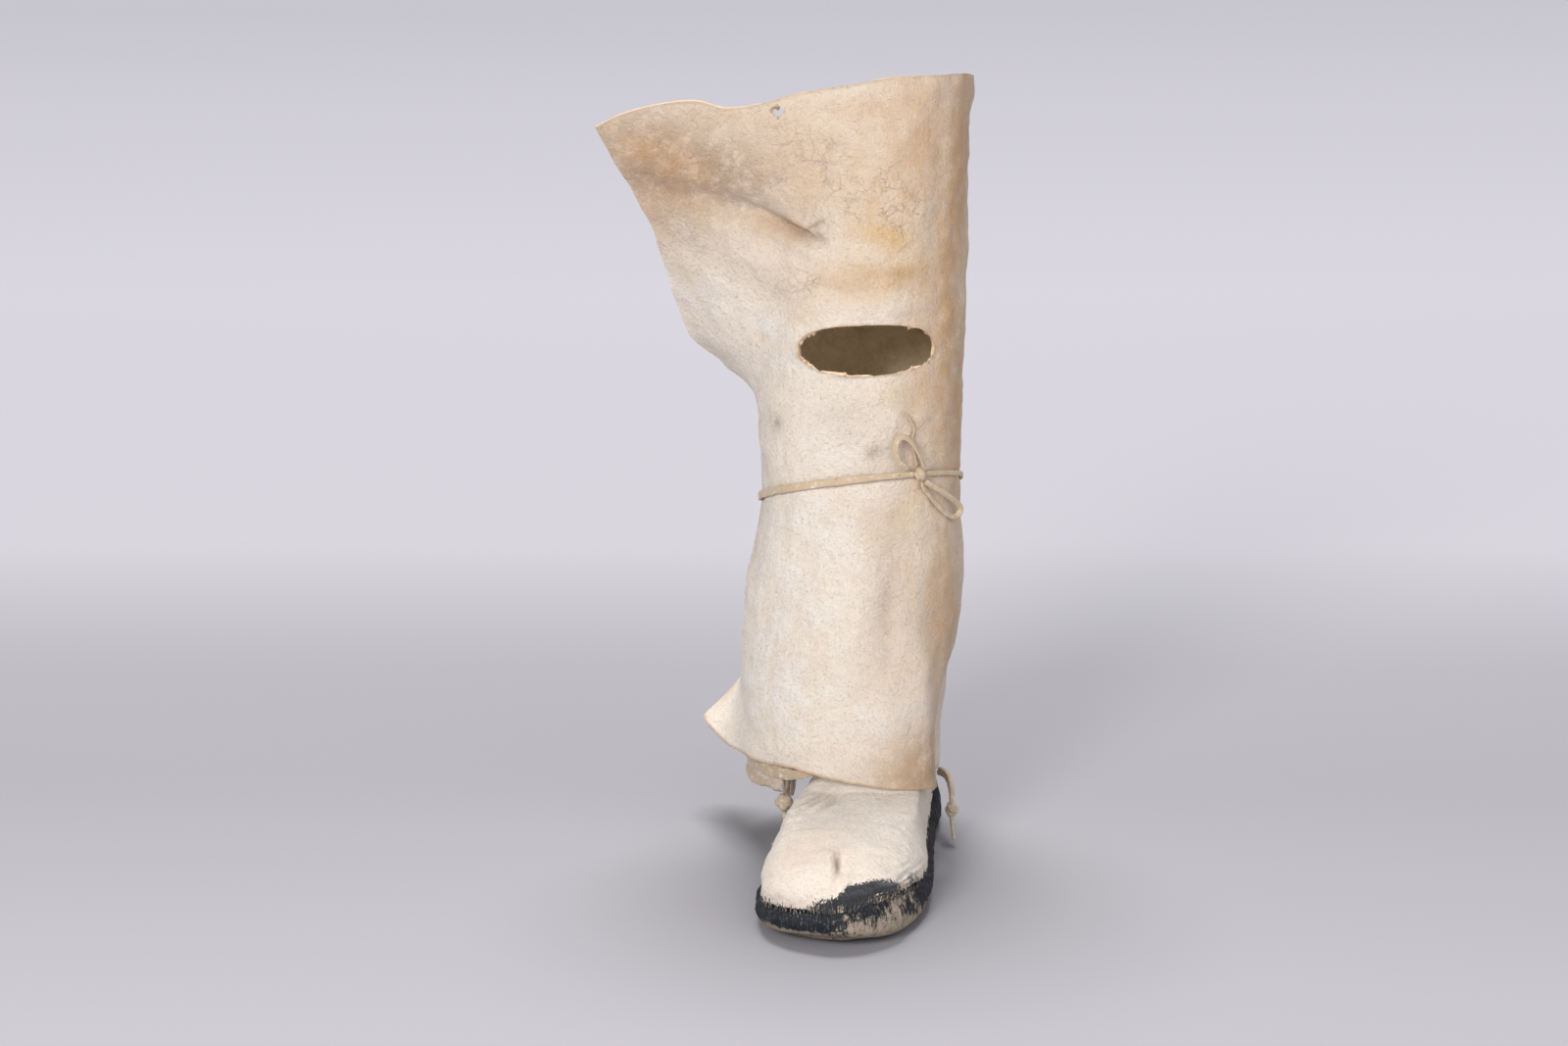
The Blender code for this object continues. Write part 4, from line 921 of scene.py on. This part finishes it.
def build_rim_stitches(upper, upper_normals):
    """Black thread drawn over the sole's ragged rim into the hide, all round the foot."""
    chance = np.random.default_rng(51)
    edge, out, rim, lean = edge_frame(upper_turns())
    turns = 2 * math.pi * np.arange(STITCH_SIDES)[:, None] / STITCH_SIDES
    points, faces = [], []
    for i in range(0, UPPER_COLUMNS, STITCH_EVERY):
        z = rim[i] + ground(edge[i][1]) - chance.uniform(0.0012, 0.0028)
        near = np.array([*(edge[i] - out[i] * (lean[i] - 0.0003)), z])
        row = int(chance.integers(14, 20))
        far = upper[row, (i + int(chance.integers(-1, 2))) % UPPER_COLUMNS] + upper_normals[row, i] * 0.0001
        axis = Vector(far - near).normalized()
        side = axis.cross(Vector((0.3, 0.2, 0.93))).normalized()
        ring = np.cos(turns) * np.array(side) - np.sin(turns) * np.array(axis.cross(side))
        rings = [near + (far - near) * share + ring * STITCH_RADIUS * wide for share, wide in STITCH_ENDS]
        rod, rod_faces = closed_rings(np.array(rings))
        faces += [tuple(len(points) + k for k in f) for f in rod_faces]
        points += rod.tolist()
    made = add_mesh("rim_stitches", points, faces, BLACK_THREAD)


# Flap, tie, knots and thongs
def build_flap():
    line = through([(CALF_WIDTH * a, 0, COLLAR_HEIGHT * b) for a, b in FLAP_FOLDS], FLAP_STEPS)[:, [0, 2]]
    run = unit(np.gradient(line, axis=0))
    side = np.stack([run[:, 1], -run[:, 0]], axis=-1) * FLAP_HIDE / 2
    outline = np.concatenate([line + side, (line - side)[::-1]])
    stations = np.linspace(FLAP_FROM, FLAP_TO, FLAP_STATIONS)
    angle, inward = np.meshgrid(stations, outline[:, 0], indexing="ij")
    z = np.broadcast_to(outline[:, 1], angle.shape)
    x = angle * PER_DEGREE
    deep = ease((inward - 0.0006) / 0.004)
    z = z + deep * (0.0016 * waves(x, inward, 0.030, 61) + 0.0007 * waves(x, inward, 0.011, 62))
    inward = inward + deep * 0.0008 * (1 + waves(x, z, 0.022, 63))
    r, axis = leg_radius(angle, z)
    r = r - (1.5 * GAP + FLAP_HIDE / 2 + inward)
    a = np.radians(angle)
    grid = stack(axis + r[..., None] * np.stack([np.cos(a), np.sin(a)], axis=-1), z)
    count = len(outline)
    faces = [f[::-1] for f in grid_faces(FLAP_STATIONS, count, wrap=True)]
    for first, way in ((0, 1), ((FLAP_STATIONS - 1) * count, -1)):
        for i in range(count // 2 - 1):
            faces.append((first + i, first + i + 1, first + count - 2 - i, first + count - 1 - i)[::way])
    plain = 0 * z
    fields = dict(tan=np.clip(0.15 + 0.3 * waves(x, z, 0.02, 64), 0, 1), stain=plain, clay=plain, cockle=plain)
    # The flap lies under the hem: it is painted darker all over, and more below 46 mm, as painted shade.
    flap = add_mesh("inner_flap_hide", grid, faces, LEG, smudge=0.65 + 0.3 * (z < 0.046), **fields)
    flap.data.set_sharp_from_angle(angle=math.radians(60))
    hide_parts("inner_flap")


def leg_radius(angle, z):
    """How far the legging's inner face is from the leg's middle line, and where that line is."""
    axis = np.stack([CALF_WIDTH * read(TUBE, n, z / SHAFT_HEIGHT) for n in (1, 2)], axis=-1)
    return np.linalg.norm(on_lap(angle, z, -LEG_HIDE) - axis, axis=-1), axis


def strap(name, path, width, thick, face, finish, turn=0.0, sides=14, rough=0.10, seed=0, taper=1.0):
    """A flat thong along a path. face: where its broad side looks, one row or a row for each point."""
    path = np.asarray(path, float)
    n = len(path)
    tangent = unit(np.gradient(path, axis=0))
    look = np.broadcast_to(np.asarray(face, float), path.shape)
    look = unit(look - (look * tangent).sum(1)[:, None] * tangent)
    side = np.cross(tangent, look)
    a = np.radians(np.broadcast_to(turn, (n,)))[:, None]
    look, side = look * np.cos(a) + side * np.sin(a), side * np.cos(a) - look * np.sin(a)
    run = run_of(path)
    close = np.full(n, 0.5)
    close[[0, -1]] *= 0.55
    wide = close * width * (1 + rough * waves(run, 0 * run, 0.009, seed)) * taper
    high = close * thick * (1 + rough * waves(run, 0 * run, 0.007, seed + 1)) * np.sqrt(taper)
    b = 2 * math.pi * np.arange(sides) / sides
    u = np.sign(np.cos(b)) * np.abs(np.cos(b)) ** 0.6 * wide[:, None]
    v = np.sign(np.sin(b)) * np.abs(np.sin(b)) ** 0.7 * high[:, None]
    rings = path[:, None] + side[:, None] * u[..., None] + look[:, None] * v[..., None]
    made = add_mesh(name, *closed_rings(rings), finish)
    return made


def free_end(name, nodes, path, width, thick, face, finish, far, on_it=(), **looks):
    """A thong with a free end or a loop, in place of some CAD nodes. on_it is not used."""
    made = strap(name, path, width, thick, face, finish, **looks)
    if nodes:
        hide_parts(*nodes)


def tie_line(angle, out):
    free = FREE_EDGE[2][1]
    wound = (angle - free) % 360
    z = tie_height(angle)
    over_edge = LAP_PITCH * (1 - ease((360 - wound) / 50.0))
    relief = np.maximum(leg_relief(free + wound, z), -0.0012)
    offset = lap_offset(free + wound) + over_edge + relief + out
    return stack(tube(np.mod(angle + 222.0, 360.0) - 222.0, z, offset), z)


def build_tie():
    half_knot = math.degrees((KNOT_WAIST * KNOT_SIZE[0] / 2 + GAP) / (CALF_WIDTH / 2))
    angle = np.linspace(KNOT_ANGLE + half_knot, KNOT_ANGLE - half_knot + 360, TIE_STEPS)
    path = tie_line(angle, 2.4 * GAP + THONG_THICKNESS / 2)
    a = np.radians(angle)
    face = np.stack([np.cos(a), np.sin(a), 0.15 * np.sin(3 * a)], axis=-1)
    to_knot = np.minimum(angle - angle[0], angle[-1] - angle)
    broad = np.where(angle - angle[0] < 60, 0.66, 0.72 + 0.28 * ease((to_knot - 4) / 40))
    tie = strap("calf_tie_thong", path, THONG_WIDTH, THONG_THICKNESS, face, THONG, seed=71, taper=broad)
    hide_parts("calf_tie")


def lump(name, middle, radii, finish, turn, seed, deep, band):
    """A knot's body: a rounded lump, drawn in by a band round it."""
    rows, sides = LUMP_ROWS, LUMP_SIDES
    phase = np.random.default_rng(seed).uniform(0, 6.28, 6)
    turns = 2 * math.pi * np.arange(sides) / sides
    a, b = np.meshgrid(math.pi * np.arange(1, rows) / rows, turns, indexing="ij")
    grow = 1 + deep * (np.sin(3 * b + 2.3 * a + phase[0]) * 0.5 + np.sin(5 * a + 2 * b + phase[1]) * 0.5)
    grow -= band * bell(np.cos(a) * 0.8 + np.sin(a) * np.cos(b + 0.7) * 0.6, 0.16)
    form = np.stack([np.sin(a) * np.cos(b), np.sin(a) * np.sin(b), np.cos(a)], axis=-1) * grow[..., None]
    points = np.concatenate([[(0, 0, 1)], form.reshape(-1, 3), [(0, 0, -1)]]) * radii
    last = 1 + (rows - 2) * sides
    faces = [tuple(1 + k for k in f[::-1]) for f in grid_faces(rows - 1, sides, wrap=True)]
    for j in range(sides):
        k = (j + 1) % sides
        faces += [(0, 1 + j, 1 + k), (last + j, len(points) - 1, last + k)]
    made = add_mesh(name, points @ np.array(Matrix.Rotation(turn, 3, "Z")).T + middle, faces, finish)
    return made


# Routes of the calf bow from the knot: degrees round the leg towards the big-toe side, up from the knot, and
# out from the legging's face to the thong's middle.
UPPER_LOOP = [
    (0.5, 0.0045, 0.0048), (-1.5, 0.0095, 0.005), (-6, 0.018, 0.005), (-11, 0.0232, 0.005),
    (-15, 0.0225, 0.0052), (-16.5, 0.016, 0.0052), (-14, 0.009, 0.0046), (-8.5, 0.0042, 0.0036),
]
LOWER_LOOP = [
    (2, -0.0045, 0.004), (9, -0.009, 0.0044), (18, -0.0155, 0.005), (26.5, -0.0215, 0.0054),
    (30.5, -0.0265, 0.005), (27, -0.0295, 0.0038), (19, -0.0265, 0.0028), (10, -0.018, 0.0024),
    (3, -0.0095, 0.0024), (0, -0.0048, 0.003),
]
BOW_END = [
    (-2, 0.005, 0.0017), (-3.5, 0.012, 0.0016), (-5.5, 0.02, 0.0016), (-4.5, 0.027, 0.0018),
    (-7, 0.0325, 0.0024), (-11.5, 0.038, 0.003),
]
# Routes of the ankle thongs: steps from the outer knot, and places at the big-toe side.
ANKLE_END = [
    (0.001, 0.002, 0.0052), (0.0004, 0.0004, 0), (0, 0, -0.0055), (0.0006, -0.0012, -0.01),
    (0.0006, -0.0024, -0.015), (-0.0008, -0.0038, -0.0195), (-0.0034, -0.005, -0.0228),
    (-0.006, -0.006, -0.0262),
]
HEEL_THONG = [
    (0.0325, 0.004, 0.0345), (0.037, -0.0015, 0.0352), (0.0412, -0.01, 0.0338), (0.044, -0.019, 0.03),
    (0.0449, -0.0243, 0.0259),
]
HEEL_KNOT = (0.0449, -0.0245, 0.0205)
HEEL_TAIL = [
    (0.0449, -0.0247, 0.0155), (0.0456, -0.0275, 0.012), (0.0466, -0.0305, 0.008), (0.0474, -0.033, 0.004),
]
HEEL_HALF_SPREAD = (0.0014, 0.0016, 0.0018, 0.0014, 0.0004)
# Routes of the folded strips that show between the hem and the foot on the outer side: angle round the leg, how
# far below the hem, and how far in from the legging's outer face.
UPPER_FOLD = [
    (-143, 0.0026, 0.0038), (-134, 0.0044, 0.0034), (-124, 0.0052, 0.0032),
    (-114, 0.0052, 0.0034), (-106, 0.0042, 0.0036), (-98, 0.0014, 0.0040),
]
LOWER_FOLD = [
    (-158, 0.0070, 0.0040), (-149, 0.0112, 0.0032), (-139, 0.0132, 0.0034),
    (-129, 0.0124, 0.0048), (-121, 0.0100, 0.0074),
]
# Name, width, thickness and route
FOLD_STRIPS = [
    ("fold_strip_upper", 0.0066, 0.0032, UPPER_FOLD),
    ("fold_strip_lower", 0.0062, 0.0040, LOWER_FOLD),
]
FOLD_TAPER = ((0, 0.04, 0.12, 0.7, 1.0), (0.75, 0.98, 1.0, 1.0, 0.28))  # share of its length, and of its width
# Width and thickness of the thongs, and radii of the knots
WRAP_THONG, LOOP_THONG, BOW_END_THONG = (0.0034, 0.0011), (0.0034, 0.0014), (0.0026, 0.0012)
ANKLE_THONG, DOUBLED_THONG = (0.0030, 0.0018), (0.0030, 0.0023)
CALF_KNOT_RADII = [size * 0.44 for size in KNOT_SIZE]
ANKLE_KNOT_RADII, HEEL_KNOT_RADII = (0.0054, 0.0050, 0.0052), (0.0040, 0.0036, 0.0046)
ANKLE_STEPS, DOUBLED_STEPS, TAIL_STEPS = 44, 70, 24
DOUBLED_FACE = (0.85, -0.5, 0.1)


def build_fold_strips():
    for n, (name, width, thick, route) in enumerate(FOLD_STRIPS):
        line = []
        for angle, below, inside in route:
            z = np.array(float(leg_bounds(np.array(float(angle)))[0]) - below)
            line.append((*on_lap(np.array(float(angle)), z, -inside), z))
        path = through(line, FOLD_STEPS)
        taper = np.interp(np.linspace(0, 1, FOLD_STEPS), *FOLD_TAPER)
        face = path - path.mean(axis=0) - np.array([0.03, 0.06, 0])
        face[:, 2] = 0.010
        made = strap(name, path, width, thick, face, SHADED_FOLD, sides=22, rough=0.16, seed=120 + 7 * n, taper=taper)


def build_bow():
    a = math.radians(KNOT_ANGLE)
    outward = np.array([math.cos(a), math.sin(a), 0.0])
    lean = np.array([-math.sin(a), math.cos(a), 0.0]) * -0.45 + np.array([0, 0, 0.89])
    middle = tie_line(np.array([KNOT_ANGLE]), GAP + KNOT_WAIST * KNOT_SIZE[1] / 2)[0]
    knot = lump("calf_knot_body", middle, CALF_KNOT_RADII, THONG, a + math.pi / 2, 81, 0.10, 0.16)
    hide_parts("calf_knot")
    b = np.radians(np.linspace(-100, 250, 40))[:, None]
    ring = outward * np.sin(b) * 0.0021 + lean * np.cos(b) * 0.0036
    wrap = strap("calf_knot_wrap", middle + ring, *WRAP_THONG, ring, THONG, seed=83)
    ends = (
        ("bow_loop_upper", UPPER_LOOP, LOOP_THONG, "object", np.linspace(34, 20, 52), 1.0, (knot, wrap)),
        ("bow_loop_lower", LOWER_LOOP, LOOP_THONG, "object", np.linspace(28, 40, 70), 1.0, ()),
        ("bow_end", BOW_END, BOW_END_THONG, "bare", np.linspace(10, 50, 40), np.linspace(1.0, 0.45, 40), ()),
    )
    for name, route, size, far, turn, taper, on_it in ends:
        line = []
        for t, up, out in route:
            angle, z = np.array(KNOT_ANGLE + t), middle[2] + up
            line.append((*on_lap(angle, z, out + 0.6 * float(leg_relief(angle, z))), z))
        looks = dict(turn=turn, rough=0.07, seed=85, taper=taper)
        path = through(line, len(turn))
        free_end(name + "_thong", [name], path, *size, outward, THONG, far, on_it, **looks)


def build_ankle_thongs():
    angle = np.array(ANKLE_KNOT_ANGLE)
    a = math.radians(ANKLE_KNOT_ANGLE)
    r, axis = leg_radius(angle, np.array(HEM_LEVEL))
    r = float(r) - CALF_WIDTH * FLAP_FOLDS[-3][0]
    low = COLLAR_HEIGHT * FLAP_FOLDS[-3][1] - FLAP_HIDE / 2
    middle = np.array([axis[0] + r * math.cos(a), axis[1] + r * math.sin(a), low - 0.0052 + GAP])
    knot = lump("ankle_knot_body", middle, ANKLE_KNOT_RADII, GREY_THONG, 0.4, 91, 0.10, 0.20)
    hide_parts("ankle_knot")
    path = through(middle + np.array(ANKLE_END), ANKLE_STEPS)
    taper = np.linspace(1.0, 0.72, ANKLE_STEPS)
    taper[-5:] = (0.9, 1.15, 1.3, 1.15, 0.7)
    looks = dict(turn=20, seed=93, taper=taper)
    face = (0.2, -0.98, 0.1)
    free_end("ankle_end_thong", ["ankle_end"], path, *ANKLE_THONG, face, GREY_THONG, "bare", (knot,), **looks)
    knot = lump("heel_thong_knot_body", HEEL_KNOT, HEEL_KNOT_RADII, GREY_THONG, 0.2, 95, 0.12, 0.22)
    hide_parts("heel_thong_knot")
    spread = np.array([0.30, -0.45, 0.84]) * np.array([HEEL_HALF_SPREAD]).T
    whole = through([*(np.array(HEEL_THONG) + spread), HEEL_KNOT, *HEEL_TAIL], DOUBLED_STEPS)
    taper = np.ones(DOUBLED_STEPS)
    taper[-TAIL_STEPS:] = np.linspace(0.9, 0.55, TAIL_STEPS)
    how, nodes = (*DOUBLED_THONG, DOUBLED_FACE, GREY_THONG), ["heel_thong", "heel_tail"]
    free_end("heel_thong_front", nodes, whole, *how, "bare", (knot,), seed=97, taper=taper)
    path = through([*(np.array(HEEL_THONG) - spread), HEEL_KNOT], ANKLE_STEPS)
    free_end("heel_thong_back", [], path, *how, "knot", seed=99)


# Stage and lights
# Floor tones, painted light and shade on the pale floor, darkest just beyond the shoe and lightest about 2 m
# behind it: metres beyond the shoe, and how light.
FLOOR_LIGHT_AND_SHADE = [
    (-1, 0.34), (-0.28, 0.33), (0.07, 0.3), (0.34, 0.33), (0.46, 0.37), (0.7, 0.46), (2.07, 0.51), (7.6, 0.45),
    (9, 0.44),
]
FLOOR_TINT = (0.955, 0.925, 1.0)
# Name, place, aim, size, power and colour
AREA_LIGHTS = [
    ("key", (-0.52, -2.05, 1.15), (0, -0.05, 0.18), 0.8, 36.5, (1.0, 0.985, 0.96)),
    ("fill", (1.5, -1.6, 0.9), (0, -0.05, 0.2), 2.8, 26, (1.0, 0.99, 0.98)),
]
OVERHEAD_POWER, OVERHEAD_WIDTH, OVERHEAD_TURN = 3.7, 30, (-18, -6, 0)
SKY_COLOUR, SKY_STRENGTH = (0.80, 0.81, 0.86, 1), 0.31


def build_stage():
    """A pale floor painted lighter and darker with distance, as painted light and shade. Its own Y is the way
    the camera looks.
    """
    near, far = FLOOR_LIGHT_AND_SHADE[0][0], FLOOR_LIGHT_AND_SHADE[-1][0]
    rows = np.concatenate([[-4, -2], np.linspace(-1, 3, 41), [4, 6, 9, 14]])
    across, along = np.meshgrid(np.linspace(-9, 9, 19), rows)
    mesh = bpy.data.meshes.new("floor")
    points = np.stack([across, along, 0 * across], axis=-1)
    mesh.from_pydata(points.reshape(-1, 3).tolist(), [], grid_faces(*across.shape))
    floor = add_object("floor", mesh)
    floor.rotation_euler = (0, 0, math.radians(CAMERA_AZIMUTH))
    f = Finish("floor_paper", (0.5, 0.5, 0.5), 0.9, specular=0.15)
    ramp = f.nodes.new("ShaderNodeValToRGB")
    stops = ramp.color_ramp.elements
    tones = [((y - near) / (far - near), (*(part * tone for part in FLOOR_TINT), 1)) for y, tone in FLOOR_LIGHT_AND_SHADE]
    for stop, (at, colour) in zip(list(stops), (tones[0], tones[-1])):
        stop.position, stop.color = at, colour
    for at, colour in tones[1:-1]:
        stops.new(at).color = colour
    away = f.node("SeparateXYZ", "Y", {"Vector": f.where})
    f.links.new(f.between(away, near, far, kind="LINEAR"), ramp.inputs["Fac"])
    f.links.new(ramp.outputs["Color"], f.shader.inputs["Base Color"])
    f.grain((260, 2), 0.0001, 0.25)
    mesh.materials.append(f.material)


def area_light(name, at, aim, size, power, colour):
    data = bpy.data.lights.new(name, "AREA")
    data.shape, data.size, data.energy, data.color = "DISK", size, power, colour
    light = add_object(name, data)
    light.location = at
    light.rotation_euler = (Vector(aim) - Vector(at)).to_track_quat("-Z", "Y").to_euler()


def build_lights():
    for light in AREA_LIGHTS:
        area_light(*light)
    data = bpy.data.lights.new("overhead", "SUN")
    data.energy, data.angle = OVERHEAD_POWER, math.radians(OVERHEAD_WIDTH)
    overhead = add_object("overhead", data)
    overhead.rotation_euler = [math.radians(turn) for turn in OVERHEAD_TURN]
    world = bpy.data.worlds.new("studio")
    world.use_nodes = True
    sky = world.node_tree.nodes["Background"].inputs
    sky["Color"].default_value, sky["Strength"].default_value = SKY_COLOUR, SKY_STRENGTH
    bpy.context.scene.world = world
    bpy.context.scene.view_settings.view_transform = "Standard"


build_bow()
build_ankle_thongs()
build_tie()
build_legging()
build_sole()
build_rim_stitches(*build_upper())
build_flap()
build_fold_strips()
build_stage()
build_lights()
